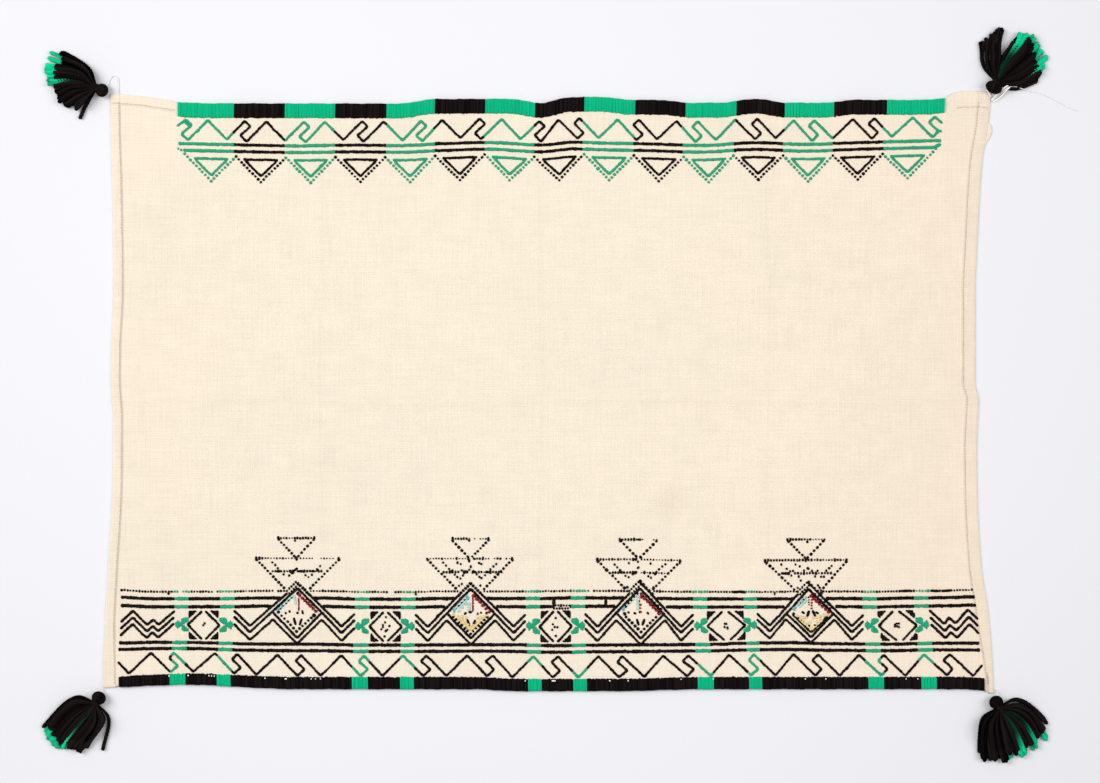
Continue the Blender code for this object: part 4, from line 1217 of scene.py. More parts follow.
# Charted rows over each diamond, from its middle: first and last column, row, and its marks
TERRACE_ROWS = (
    ((-7.8, 6.6, -24.2, "Oo.o.-oooooo.O"), (-16.5, 16.5, -16.1, "OOo..--..o---- .----  -.--- O"),
     (-10.0, 9.6, -10.9, ".o=oo.oO ==Ooo=.oo")),
    ((-7.2, 7.2, -24.1, "O.oooo. - --.O"), (-17.4, 16.7, -16.1, "o--..o----o---o o.oO-- -oo .-O"),
     (-10.8, 12.5, -10.7, "ooOooo OO Oooo-=Ooooo")),
    ((-8.1, 6.7, -23.6, "OooooO.=-   -."), (-17.1, 16.1, -15.6, "Ooo.oo.o.o..OO .....---..o--o"),
     (-11.0, 9.9, -10.3, "ooo=oooOO -O-ooo-o-")),
    ((-8.4, 6.5, -23.9, "OOoooo..o-.--."), (-17.4, 15.3, -15.6, "OOooooooooooooOoo.oo....Ooo-O"),
     (-10.2, 9.0, -10.3, "==O oooOoooO-oooo")),
)
TERRACE_CHARTS = (
    (
        ("dots", "", 0.95, ((-7.6, -23.6), (-1.3, -17.0))),
        ("dots", "", 0.95, ((6.5, -23.6), (0.4, -17.0))),
        ("stitches", "", 0.8, ((-0.9, -16.9), (0.0, -16.0), (0.0, -16.0), (-0.7, -15.2))),
        ("dots", "", 0.95, ((-16.4, -15.5), (-5.4, -4.1))),
        ("dots", "", 0.95, ((16.6, -15.6), (5.1, -4.1))),
        ("spots", "", 1.2, ((-16.7, -15.6), (16.6, -15.9), (-7.7, -23.9), (6.5, -23.9))),
        ("spots", "", 0.8, ((-1.0, -23.2), (-10.1, -14.4), (-5.6, -9.6), (4.3, -8.5), (3.1, -9.3),
                            (7.8, -11.8))),
        ("spots", "", 1.0, ((-9.0, -13.3), (-7.9, -12.0), (-3.4, -9.1), (9.1, -13.0), (5.7, -9.5))),
        ("stitches", "", 0.95, ((-2.9, -11.2), (-2.1, -9.6), (-2.2, -9.6), (-1.4, -10.8), (-1.4, -10.9),
                                (0.0, -12.2), (7.8, -11.8), (8.5, -10.9))),
    ),
    (
        ("dots", "", 0.95, ((-7.2, -23.2), (-1.1, -16.9), (-0.8, -15.9))),
        ("dots", "", 0.95, ((7.2, -23.5), (0.7, -17.0), (1.6, -16.0))),
        ("dots", "", 0.95, ((-17.3, -15.7), (-6.0, -4.2))),
        ("dots", "", 0.95, ((16.6, -15.7), (5.4, -3.9))),
        ("spots", "", 1.2, ((16.8, -15.5), (-0.6, -15.2), (0.0, -12.9))),
        ("spots", "", 0.95, ((-0.6, -23.4), (-11.0, -14.5), (-9.9, -13.3), (-8.7, -11.9), (-6.4, -9.6),
                             (-5.4, -8.8), (-4.2, -8.1), (-3.0, -9.4), (-0.6, -11.6), (2.3, -9.8),
                             (3.5, -8.8), (4.4, -8.3), (5.8, -9.4), (7.9, -11.7), (9.2, -12.9),
                             (10.3, -14.0), (-5.3, -14.5), (-4.0, -14.0), (3.4, -14.4), (4.3, -13.9),
                             (-3.6, -11.3))),
        ("stitches", "", 1.0, ((-8.2, -10.4), (-7.0, -11.8), (-2.4, -11.3), (-1.3, -10.3), (0.6, -10.7),
                               (2.0, -10.7), (0.8, -11.3), (1.6, -10.7))),
        ("spots", "", 0.9, ((-4.7, -5.3), (-3.5, -5.9), (3.9, -5.3))),
    ),
    (
        ("dots", "", 0.95, ((-7.7, -23.0), (-1.6, -16.8), (-1.6, -15.9))),
        ("dots", "", 0.95, ((6.6, -23.0), (0.2, -16.6))),
        ("dots", "", 0.95, ((-16.9, -14.9), (-6.3, -4.2))),
        ("dots", "", 0.95, ((16.1, -15.1), (5.4, -3.9))),
        ("spots", "", 1.25, ((-17.1, -14.9), (-8.0, -23.0), (16.0, -14.6))),
        ("spots", "", 0.95, ((-10.2, -13.5), (-9.2, -12.3), (-8.0, -11.3), (-5.8, -9.0), (-4.5, -8.4),
                             (3.3, -8.9), (4.5, -8.3), (7.7, -11.8), (9.0, -13.0), (10.1, -14.0),
                             (-4.5, -14.1), (4.3, -14.0), (-0.8, -14.7))),
        ("stitches", "", 1.0, ((-3.3, -9.3), (-2.0, -10.8), (-2.1, -10.8), (-1.1, -10.2), (-1.3, -11.7),
                               (-0.3, -12.7), (5.8, -9.4), (6.9, -11.0))),
        ("stitches", "", 0.85, ((-5.0, -5.0), (-5.0, -3.9), (5.3, -4.9), (5.6, -3.8))),
    ),
    (
        ("dots", "", 0.95, ((-7.9, -23.0), (-1.4, -16.6))),
        ("dots", "", 0.95, ((6.0, -23.2), (-0.2, -16.7), (-0.7, -15.9))),
        ("dots", "", 0.95, ((-16.7, -14.6), (-5.7, -3.9))),
        ("dots", "", 0.95, ((15.2, -14.9), (6.0, -4.5))),
        ("spots", "", 1.3, ((-17.4, -15.2), (-16.9, -14.5), (15.2, -15.2))),
        ("spots", "", 0.95, ((-0.5, -22.9), (-10.9, -13.9), (-8.6, -12.2), (-7.3, -11.1), (-6.2, -11.2),
                             (-6.9, -9.5), (-3.9, -8.9), (-3.1, -7.4), (1.4, -11.3), (-1.8, -11.3),
                             (3.7, -11.2), (2.7, -9.0), (5.0, -8.9), (6.2, -8.9), (7.1, -11.3),
                             (8.3, -12.3), (9.3, -13.1), (-5.1, -13.9), (-3.5, -13.1))),
        ("stitches", "", 1.0, ((-0.7, -12.7), (0.4, -11.8))),
        ("spots", "", 0.95, ((-4.3, -4.5), (3.9, -5.5), (4.5, -4.5), (5.0, -3.3))),
    ),
)
DIAMOND_CHARTS = (
    (
        ("line", "pale", 0.7, ((-1.5, -1.4), (-7.0, 4.0))),
        ("dots", "", 0.75, ((-2.4, -0.3), (-6.8, 4.1))),
        ("spots", "blue", 1.3, ((-7.9, 4.8), (-7.2, 4.0), (-6.3, 3.2))),
        ("line", "pale", 0.7, ((-1.1, -1.3), (-0.7, 2.4))),
        ("dots", "", 0.5, ((0.6, 0.0), (0.6, 4.7))),
        ("dots", "red", 0.6, ((0.6, 0.6), (0.6, 4.1))),
        ("dots", "red", 1.2, ((0.8, -1.3), (7.6, 5.3))),
        ("spots", "", 0.9, ((1.3, -1.0), (2.5, 0.2), (3.7, 1.4), (4.9, 2.6), (6.1, 3.8), (7.3, 5.0))),
        ("spots", "", 0.9, ((-4.7, 5.9), (-3.1, 5.3), (0.1, 5.8), (2.0, 5.3), (2.2, 5.9))),
        ("stitches", "", 1.3, ((6.2, 7.5), (7.2, 6.1), (-0.3, -2.3), (0.6, -1.7))),
        ("stitches", "", 0.95, ((-1.5, 7.7), (-0.6, 10.8), (1.8, 8.0), (0.8, 11.0))),
        ("dots", "", 1.05, ((-7.6, 5.6), (-0.3, 13.2), (5.6, 7.8))),
    ),
    (
        ("line", "pale", 0.75, ((-1.6, -0.7), (-6.8, 4.2))),
        ("dots", "", 0.85, ((-2.5, 0.3), (-6.1, 3.8))),
        ("spots", "blue", 1.3, ((-1.8, -0.9), (-1.0, -0.2), (-6.9, 4.0), (-6.7, 4.9))),
        ("line", "pale", 0.95, ((-0.8, 1.6), (-0.8, 4.7))),
        ("dots", "red", 0.7, ((0.8, -0.7), (0.8, 4.2))),
        ("dots", "", 0.5, ((0.8, 0.0), (0.8, 4.9))),
        ("dots", "red", 1.25, ((1.0, -1.2), (7.4, 5.2))),
        ("spots", "", 0.9, ((1.6, -0.8), (2.8, 0.4), (4.0, 1.6), (5.2, 2.8), (6.4, 4.0), (7.4, 5.2))),
        ("line", "pale", 0.8, ((-4.6, 3.6), (-1.6, 0.6))),
        ("dots", "pale", 0.8, ((-4.8, 4.9), (-2.0, 2.1))),
        ("stitches", "", 0.85, ((-2.8, 6.3), (-1.8, 5.4), (-1.0, 5.2), (0.4, 5.5), (6.0, 6.2), (6.6, 5.2))),
        ("spots", "", 0.9, ((2.7, 6.1), (4.1, 5.6))),
        ("stitches", "", 0.9, ((-1.4, 8.1), (-0.5, 10.7), (1.8, 8.3), (0.9, 10.7))),
        ("dots", "yellow", 1.0, ((-6.9, 6.5), (-1.9, 7.6))),
        ("dots", "yellow", 1.0, ((2.4, 7.7), (6.6, 6.7))),
        ("line", "yellow", 0.8, ((-4.9, 7.8), (0.0, 12.4), (4.8, 8.0))),
        ("dots", "yellow", 0.8, ((-3.4, 8.3), (0.1, 11.2), (3.6, 8.5))),
        ("dots", "", 1.15, ((-7.2, 7.2), (-0.2, 14.0), (6.6, 7.4))),
    ),
    (
        ("dots", "pale", 0.7, ((-1.9, -0.7), (-5.4, 2.8))),
        ("dots", "", 0.9, ((-1.3, -1.9), (-5.9, 3.2))),
        ("spots", "blue", 1.35, ((-7.0, 4.3), (-6.5, 3.7))),
        ("stitches", "", 1.2, ((-6.8, 5.6), (-6.0, 6.7), (6.9, 6.3), (7.7, 5.6))),
        ("line", "pale", 1.0, ((-1.1, -1.2), (-0.9, 4.6))),
        ("dots", "red", 0.95, ((0.3, -0.3), (-0.5, 1.2), (-0.1, 2.6), (-0.1, 4.0), (0.0, 5.4))),
        ("dots", "red", 1.3, ((0.5, -1.1), (7.6, 5.8))),
        ("spots", "", 0.95, ((1.2, -0.7), (2.4, 0.5), (3.7, 1.7), (4.9, 2.9), (6.1, 4.2), (7.3, 5.4),
                             (0.5, -0.8))),
        ("dots", "", 0.9, ((2.0, -1.9), (8.1, 4.1))),
        ("spots", "", 0.9, ((-4.8, 5.6), (-0.3, 5.5), (0.2, -1.9))),
        ("stitches", "", 0.8, ((-2.7, 5.6), (-1.6, 6.1), (2.4, 5.3), (3.3, 6.4))),
        ("stitches", "", 0.9, ((-1.6, 8.1), (-0.6, 10.8), (1.6, 8.1), (0.8, 10.8))),
        ("dots", "", 1.05, ((-5.8, 7.4), (0.3, 13.2), (6.3, 7.4))),
    ),
    (
        ("line", "pale", 0.7, ((-1.4, -0.9), (-6.1, 3.6))),
        ("dots", "blue", 0.9, ((-1.8, -0.5), (-5.9, 3.5))),
        ("spots", "blue", 1.25, ((-6.1, 4.2), (-6.6, 3.7))),
        ("dots", "", 0.7, ((-2.6, 0.3), (-5.4, 3.0))),
        ("dots", "", 0.6, ((-0.5, -0.6), (-0.4, 2.4))),
        ("dots", "red", 0.75, ((0.7, -0.7), (0.7, 3.9))),
        ("dots", "red", 1.3, ((0.5, -1.2), (7.4, 5.5))),
        ("spots", "", 0.95, ((1.2, -0.7), (2.4, 0.4), (3.6, 1.6), (4.8, 2.8), (6.0, 4.0), (7.2, 5.2))),
        ("dots", "", 0.9, ((2.0, -1.9), (7.9, 4.0))),
        ("line", "pale", 0.8, ((-4.2, 3.2), (-1.4, 0.4))),
        ("stitches", "", 0.85, ((-3.4, 5.2), (-2.1, 6.1), (2.3, 5.2), (3.6, 6.2))),
        ("stitches", "", 1.05, ((-0.3, 4.8), (-1.2, 7.3), (1.0, 4.5), (2.2, 7.4))),
        ("dots", "yellow", 1.0, ((-5.9, 6.9), (-1.2, 7.8))),
        ("dots", "yellow", 1.0, ((1.4, 7.9), (7.2, 6.3))),
        ("line", "yellow", 0.8, ((-4.4, 8.3), (0.5, 12.8), (5.4, 8.5))),
        ("line", "", 0.9, ((-7.0, 6.4), (-0.2, 13.2), (0.4, 13.8), (7.2, 7.2))),
        ("spots", "yellow", 0.85, ((-2.6, 8.8), (2.8, 9.2), (0.3, 9.6), (-1.0, 9.9), (1.6, 11.6),
                                   (4.2, 8.2))),
        ("spots", "", 0.85, ((-4.7, 8.0), (-3.7, 9.0), (-2.7, 9.9), (-1.6, 11.1), (-0.3, 11.1),
                             (-0.5, 12.3), (1.6, 12.8), (3.7, 10.4), (4.8, 9.1), (6.0, 8.0))),
        ("stitches", "", 0.9, ((1.6, 10.8), (3.2, 11.5), (-6.9, 5.7), (-6.2, 6.4))),
    ),
)


def upper_hook(top, side):
    """The four corners of a hook from its top, turned right (1) or left (-1)."""
    back, foot = (1.9, 0.6) if side > 0 else (1.6, 0.85)
    return [(top, -9.7), (top + 2.2 * side, -7.5), (top - back * side, -3.9), (top + foot * side, -1.5)]


def upper_meander():
    """Chart points of the hooked line: hooks that turn to the middle, with a low and a peak between."""
    points = [UPPER_ENDS[0]]
    last = len(UPPER_HOOKS) - 1
    for number, top in enumerate(UPPER_HOOKS):
        if number < LEFT_HOOKS:
            points += [*upper_hook(top, 1), (UPPER_PEAKS[number], PEAK_ROW)]
        else:
            points += upper_hook(top, -1)[::-1]
        if number not in (LEFT_HOOKS - 1, last):
            points.append((UPPER_LOWS[number - (number >= LEFT_HOOKS)], LOW_ROW))
        if LEFT_HOOKS <= number < last:
            points.append((UPPER_PEAKS[number], PEAK_ROW))
    return [*points, UPPER_ENDS[1]]


class MANTA_OT_upper_border(bpy.types.Operator):
    """Embroider the border under the upper edge"""

    bl_idname = "manta.upper_border"
    bl_label = "Upper border"

    def execute(self, context):
        sewn = Stitches(upper_place, 11)
        sewn.line(upper_meander(), 0.92)
        for stretch in UPPER_LINES:
            for part in cut(stretch, upper_bounds()):
                sewn.line(part, 1.2)
        for number in range(TRIANGLES):
            middle = TRIANGLE_FIRST + TRIANGLE_PITCH * number
            sewn.line([(middle - TRIANGLE_HALF, TRIANGLE_ROW), (middle + TRIANGLE_HALF, TRIANGLE_ROW)])
            sides = [(middle - SIDES_HALF, SIDES_ROW), (middle, POINT_ROW), (middle + SIDES_HALF, SIDES_ROW)]
            sewn.line(sides, 0.95)
            left = FIRST_DOTS_HALF if number == 0 else DOTS_HALF
            right = LAST_DOTS_HALF if number == TRIANGLES - 1 else DOTS_HALF
            dots = [(middle - left, DOTS_ROW - left), (middle, DOTS_ROW), (middle + right, DOTS_ROW - right)]
            sewn.dots(dots)
        sewn.spots([(-149.0, 1.9), (-147.9, 2.5), (157.4, -3.9)], 0.9)
        sewn.add([(-146.8, -9.3), (155.0, 2.5)], [(-144.0, -7.0), (157.6, 1.4)], 1.1)
        sewn.sew("upper_border", upper_is_green)
        return {"FINISHED"}


def lower_line(gap, row, start, end, breaks=()):
    """Chart points of a line along the lower border, stopping at diamonds, breaks and changes of yarn."""
    marks = [start]
    if gap:
        for middle, *_ in DIAMONDS:
            marks += [middle - gap, middle + gap]
    marks += [*breaks, end]
    marks.sort()
    whole = [((first, row), (last, row)) for first, last in zip(marks[::2], marks[1::2])]
    return [part for stretch in whole for part in cut(stretch, lower_bounds(row))]


def diamond(sewn, middle, peak, foot, lows, ends, tops):
    """The three lines that zigzag beside a diamond and cross over it, and the heavy stitches on its peak."""
    for side, low, end, top in zip((-1, 1), lows, ends, tops):
        def at(column, row):
            return middle + side * column, row

        out = end - low
        peak_side, foot_side = side * peak, side * foot
        sewn.line([at(end, 11.1 - out), at(low, 11.1), at(4.2 + peak_side, -2.0)], 0.97)
        sewn.line([at(end, 13.6 - out), at(low, 13.6), at(peak_side, -4.0)], 0.97)
        sewn.line([at(end, 16.7 - out), at(low, 16.7), at(9.8, 8.5), at(foot_side, 18.2)], 0.92)
        sewn.line([at(9.7, 5.8), at(foot_side, 15.8)], 0.97)
        step = np.arange(5) * 0.9
        centre = np.stack([middle + side * (3.8 - step + peak_side), -2.4 - step], axis=1)
        across = np.array([side * 0.5, -0.5])
        if top == "line":
            sewn.line([at(4.4 + peak_side, -2.0), at(peak_side, -6.4)], 0.8)
            sewn.dots([at(4.9 + peak_side, -1.8), at(peak_side, -6.7)], 1.25, uneven=0.2)
        elif top == "ticks":
            sewn.add(centre - across, centre + across, 1.0)
        else:
            sewn.spots(centre - across, 0.95)
            sewn.spots(centre + across, 0.95)


def box(sewn, middle, half, lean, dots):
    """One open diamond in a box with filled corners. It leans to the right at its foot."""
    gap = 0.8 + 0.35 * (half - 6.5)
    for side in (-1, 1):
        def at(column, row):
            return middle + side * column + lean * (row - BOX_ROWS[1]) / 5.8, row

        sewn.line([at(column, row) for column, row in zip((gap, half, gap), BOX_ROWS)], 0.92)
        corner = half - 0.5
        for level, point in CORNER_ROWS:
            sewn.fill([at(corner, level), at(corner - CORNER_LONG, level), at(corner, point)])
    sewn.spots([(middle + column, row) for column, row in dots], 0.88)


def bow(sewn, middle, side):
    """A green bow beside a box: two petals towards the box and a blunt triangle away from it."""
    def at(column, row):
        return middle + side * column, row

    for petal in BOW_PETALS:
        sewn.fill([at(*place) for place in petal], colour="sewn_green")


class MANTA_OT_lower_border(bpy.types.Operator):
    """Embroider the border over the lower edge"""

    bl_idname = "manta.lower_border"
    bl_label = "Lower border"

    def execute(self, context):
        self.sew_lines()
        self.sew_figures()
        return {"FINISHED"}

    def sew_lines(self):
        """The long lines and the hooks under them."""
        lines = Stitches(lower_place, 21)
        for stretch in lower_line(*LOWER_DOTS):
            lines.dots(stretch, 0.86, uneven=0.12, missing=0.015)
        for row in LOWER_LINES:
            for stretch in lower_line(*row):
                lines.line(stretch, 1.3)
        lines.dots([(2.6, 2.8), (8.2, 2.8)], 0.95)
        lines.dots([(2.0, 4.0), (7.6, 4.0)], 0.85)
        hooks = [place for columns in LOWER_HOOKS for place in zip(columns, HOOK_ROWS)]
        lines.line([*HOOKS_START, *hooks[:-1], HOOKS_END], 0.95)
        lines.add([(2.0, 0.4), (22.7, 0.4)], [(2.0, 3.0), (22.7, 3.0)], 1.3)
        lines.spots([(-152.9, -2.2), (-53.6, -2.1), (90.8, -2.2)], 1.2)
        lines.add([(73.8, -2.9), (76.2, -3.0), (141.0, -3.0), (153.2, -3.2), (158.3, -2.7)],
                  [(77.2, -3.1), (79.4, -2.8), (145.9, -3.1), (156.9, -2.8), (162.2, -3.0)], 1.05)
        lines.sew("lower_lines", lower_is_green)

    def sew_figures(self):
        """The diamonds, terraces, boxes and bows, and the three zigzags at each end."""
        figures = Stitches(lower_place, 22)
        for copy in range(ZIGZAGS):
            figures.line([(column - 0.12 * copy, row + 2.75 * copy) for column, row in LEFT_ZIGZAG])
            figures.line([(column + 0.3 * copy, row + 2.9 * copy) for column, row in RIGHT_ZIGZAG])
        for row, rows, terrace, inside in zip(DIAMONDS, TERRACE_ROWS, TERRACE_CHARTS, DIAMOND_CHARTS):
            middle, peak = row[:2]
            diamond(figures, *row)
            for start, end, level, marks in rows:
                figures.row(middle + peak + start, middle + peak + end, level, marks)
            figures.sew_chart(middle + peak, terrace)
            figures.sew_chart(middle, inside)
        for row in BOXES:
            box(figures, *row)
        for row in BOWS:
            bow(figures, *row)
        figures.sew("lower_figures", lambda x, y: np.zeros(x.shape, bool))


def hem_rows():
    """Points of the rows of stitches in the left and right hems and the top hem's two free stretches."""
    y = np.arange(-368.0, 372.0, HEM_STITCH)
    left_hem, right_hem = hem_widths(y)
    top_left = np.arange(left_edge(370.0) + 3.0, UPPER_RUNS[0][1] - 3.0, HEM_STITCH)
    top_right = np.arange(UPPER_RUNS[-1][2] + 16.0, right_edge(370.0) - 2.0, HEM_STITCH)
    sides = [(left_edge(y) + left_hem - SEAM_IN, y), (right_edge(y) - right_hem + SEAM_IN, y)]
    tops = [(x, top_line(x) - top_hem(x) + SEAM_IN) for x in (top_left, top_right)]
    return [np.stack(row, axis=1) for row in sides + tops]


def loose_layer():
    """The hem's second layer where it stands out at the right edge: a low sheet, round along its rim.

    It stands out by a sine's power over its stretch. Its thickness closes like a circle's towards the rim.
    """
    y = np.linspace(*LOOSE_LAYER, 29)
    share = (y - LOOSE_LAYER[0]) / (LOOSE_LAYER[1] - LOOSE_LAYER[0])
    bulge = LOOSE_OUT * np.sin(math.pi * share ** 1.3) ** 0.8
    out = np.linspace(0.0, 1.0, 7)[:, None]
    x = right_edge(y) - 0.6 + out * (bulge + 0.6)
    closed = 1.0 - np.sqrt(np.clip(1.0 - out ** 6, 0.0, 1.0))
    points = sheet_points(x, y, 1.5 - 0.45 * closed, 0.25 + 0.35 * closed)
    faces = [part[:, ::-1] for part in sheet_faces(*x.shape)]
    return add_piece("loose_hem_layer", points, faces, bpy.data.materials["cream basket weave"], "worn",
                     np.zeros(len(points)))


class MANTA_OT_hem_stitches(bpy.types.Operator):
    """Sew the hems down and add the loose layer at the right edge"""

    bl_idname = "manta.hem_stitches"
    bl_label = "Hem stitches"

    def execute(self, context):
        sewn = Stitches(lambda x, y: (x, y), 31)
        for points in hem_rows():
            ahead = np.diff(points, axis=0)
            sewn.add(points[:-1] + 0.14 * ahead, points[:-1] + 0.86 * ahead, 0.2, "hem")
        sewn.sew("hem_stitches", lambda x, y: np.zeros(x.shape, bool))
        loose_layer()
        return {"FINISHED"}


def pointing(azimuth):
    """Unit vectors in plan at azimuths in degrees."""
    turn = np.radians(azimuth)
    return np.stack([np.cos(turn), np.sin(turn)], axis=-1)


class Fan(NamedTuple):
    """The plan of one tassel, seen from its head: where a strand at a share across the fan runs.

    Starts, tips and headings are in degrees, for the first and the last strand, and reaches in millimetres,
    for the first, middle and last strand. The head reaches its halves, along and across, and half a strand
    more. Past the parting place, a share across the fan, it opens by the parting width in degrees.
    """

    name: str
    head: tuple
    neck_azimuth: float
    starts: tuple
    tips: tuple
    headings: tuple
    reaches: tuple
    head_half: tuple = (6.1, 6.7)
    part_at: float = 0.0
    part_wide: float = 0.0

    @property
    def neck(self):
        """The middle of the neck in plan."""
        return NECK_OUT * pointing(self.neck_azimuth)

    def plan(self, share, t):
        """Points at t along the strands at shares across the fan.

        From t = 0 at the skirt's rim to 1 at the tip it is a cubic with set directions at both ends, straight
        on past the tip, and straight back to the neck down to the root.
        """
        start = pointing(between(self.starts, share))
        rim = self.neck + SKIRT_RIM * start
        parted = np.where((self.part_at > 0.0) & (share > self.part_at), self.part_wide, 0.0)
        azimuth = between((self.tips[0], self.tips[1] - self.part_wide), share) + parted
        reach = np.interp(share, (0.0, 0.5, 1.0), self.reaches)
        tip = reach[..., None] * pointing(azimuth)
        pull = STIFFNESS * np.linalg.norm(tip - rim, axis=-1, keepdims=True)
        first = pull * start
        last = pull * pointing(between(self.headings, share))
        s = np.clip(t, 0.0, 1.0)[..., None]
        curve = ((1 + 2 * s) * (1 - s) ** 2 * rim + s * (1 - s) ** 2 * first
                 + s * s * (3 - 2 * s) * tip + s * s * (s - 1) * last)
        past = np.maximum(t - 1.0, 0.0)[..., None] * last / STIFFNESS
        back = np.minimum(t, 0.0)[..., None] * (SKIRT_RIM - SKIRT_INNER) / -ROOT * start
        return curve + past + back


def strand_heights(row, t):
    """Heights of strands' middles: drawn together at the neck, stacked over the skirt, settled at the tips.

    Settled strands lie in layers of two rows.
    """
    stacked = np.where(row > 0, (row + 0.5) * ROW_HIGH, 0.5 * STRAND_HIGH)
    settled = 0.5 * STRAND_HIGH + (STRAND_HIGH + 0.3) * np.maximum(0.0, np.floor(0.5 * row + 0.01))
    neck = NECK_LOW + (NECK_TOP - NECK_LOW) * (row + 0.5) / FAN_ROWS
    low = ease((t - 0.30) / 0.52)
    out = ease((t - ROOT) / -ROOT)
    return neck * (1.0 - out) + (stacked * (1.0 - low) + settled * low) * out


def yarn_turns(paths, twist):
    """How far the plies have turned at each station: 2 pi for each twist length."""
    steps = np.linalg.norm(np.diff(paths, axis=1), axis=2)
    along = np.concatenate([np.zeros((len(paths), 1)), np.cumsum(steps, axis=1)], axis=1)
    return along * 2.0 * math.pi / twist


def strand_piece(name, fan, share, level, tips, colour, seed):
    """Twisted strands of one colour, from their shares across the fan, their levels and their tips.

    Each wanders a little. It is narrow at its root, and just before its cut tip it swells and closes again.
    """
    settings = bpy.context.scene.manta_yarn
    chance = np.random.default_rng(seed)
    count = len(share)
    t = ROOT + (tips[:, None] - ROOT) * np.linspace(0.0, 1.0, STRAND_STATIONS)
    wander = chance.normal(0.0, 0.006, (count, 1)) * ease(t / 0.5)
    plan = fan.plan(share[:, None] + wander, t) + np.array(fan.head)
    paths = np.concatenate([plan, strand_heights(level[:, None], t)[..., None]], axis=2)
    bend = chance.normal(0.0, 0.9, (count, 1)) * np.sin(t * 4.0 + chance.uniform(0.0, 6.0, (count, 1)))
    paths[..., :2] += level_across(paths)[..., :2] * (bend * ease(t))[..., None]
    half = 0.5 * settings.strand_width / MM * (1.0 + chance.normal(0.0, 0.05, (count, 1)))
    wide = half * (0.42 + 0.58 * ease((t - ROOT) / 0.62))
    to_tip = tips[:, None] - t
    wide = wide * (0.72 + 0.28 * ease(to_tip / 0.03)) * (1.0 + 0.08 * np.exp(-((to_tip - 0.05) / 0.03) ** 2))
    high = np.minimum(wide, 0.5 * STRAND_HIGH + 0.35)
    paths[..., 2] = np.maximum(paths[..., 2], high * 1.14)
    turns = yarn_turns(paths, settings.strand_twist / MM) + chance.uniform(0.0, 6.0, (count, 1))
    darkest, spread = STRAND_TONES[colour]
    tones = darkest + spread * chance.random(count)
    # Painted shade: strands darken towards their roots, where they lie under others, by their colour's share;
    # the 0.6 below is painted shade down each strand's sides
    painted_root_shade = STRAND_PAINTED_ROOT_SHADE[colour] * (1.0 - ease((t - 0.34) / 0.56))
    return tube_piece(name, paths, level_across(paths), wide, high, 9, colour, tones, 0.6, painted_root_shade,
                      plies=3, ply_depth=0.13, turns=turns, end=0.5)


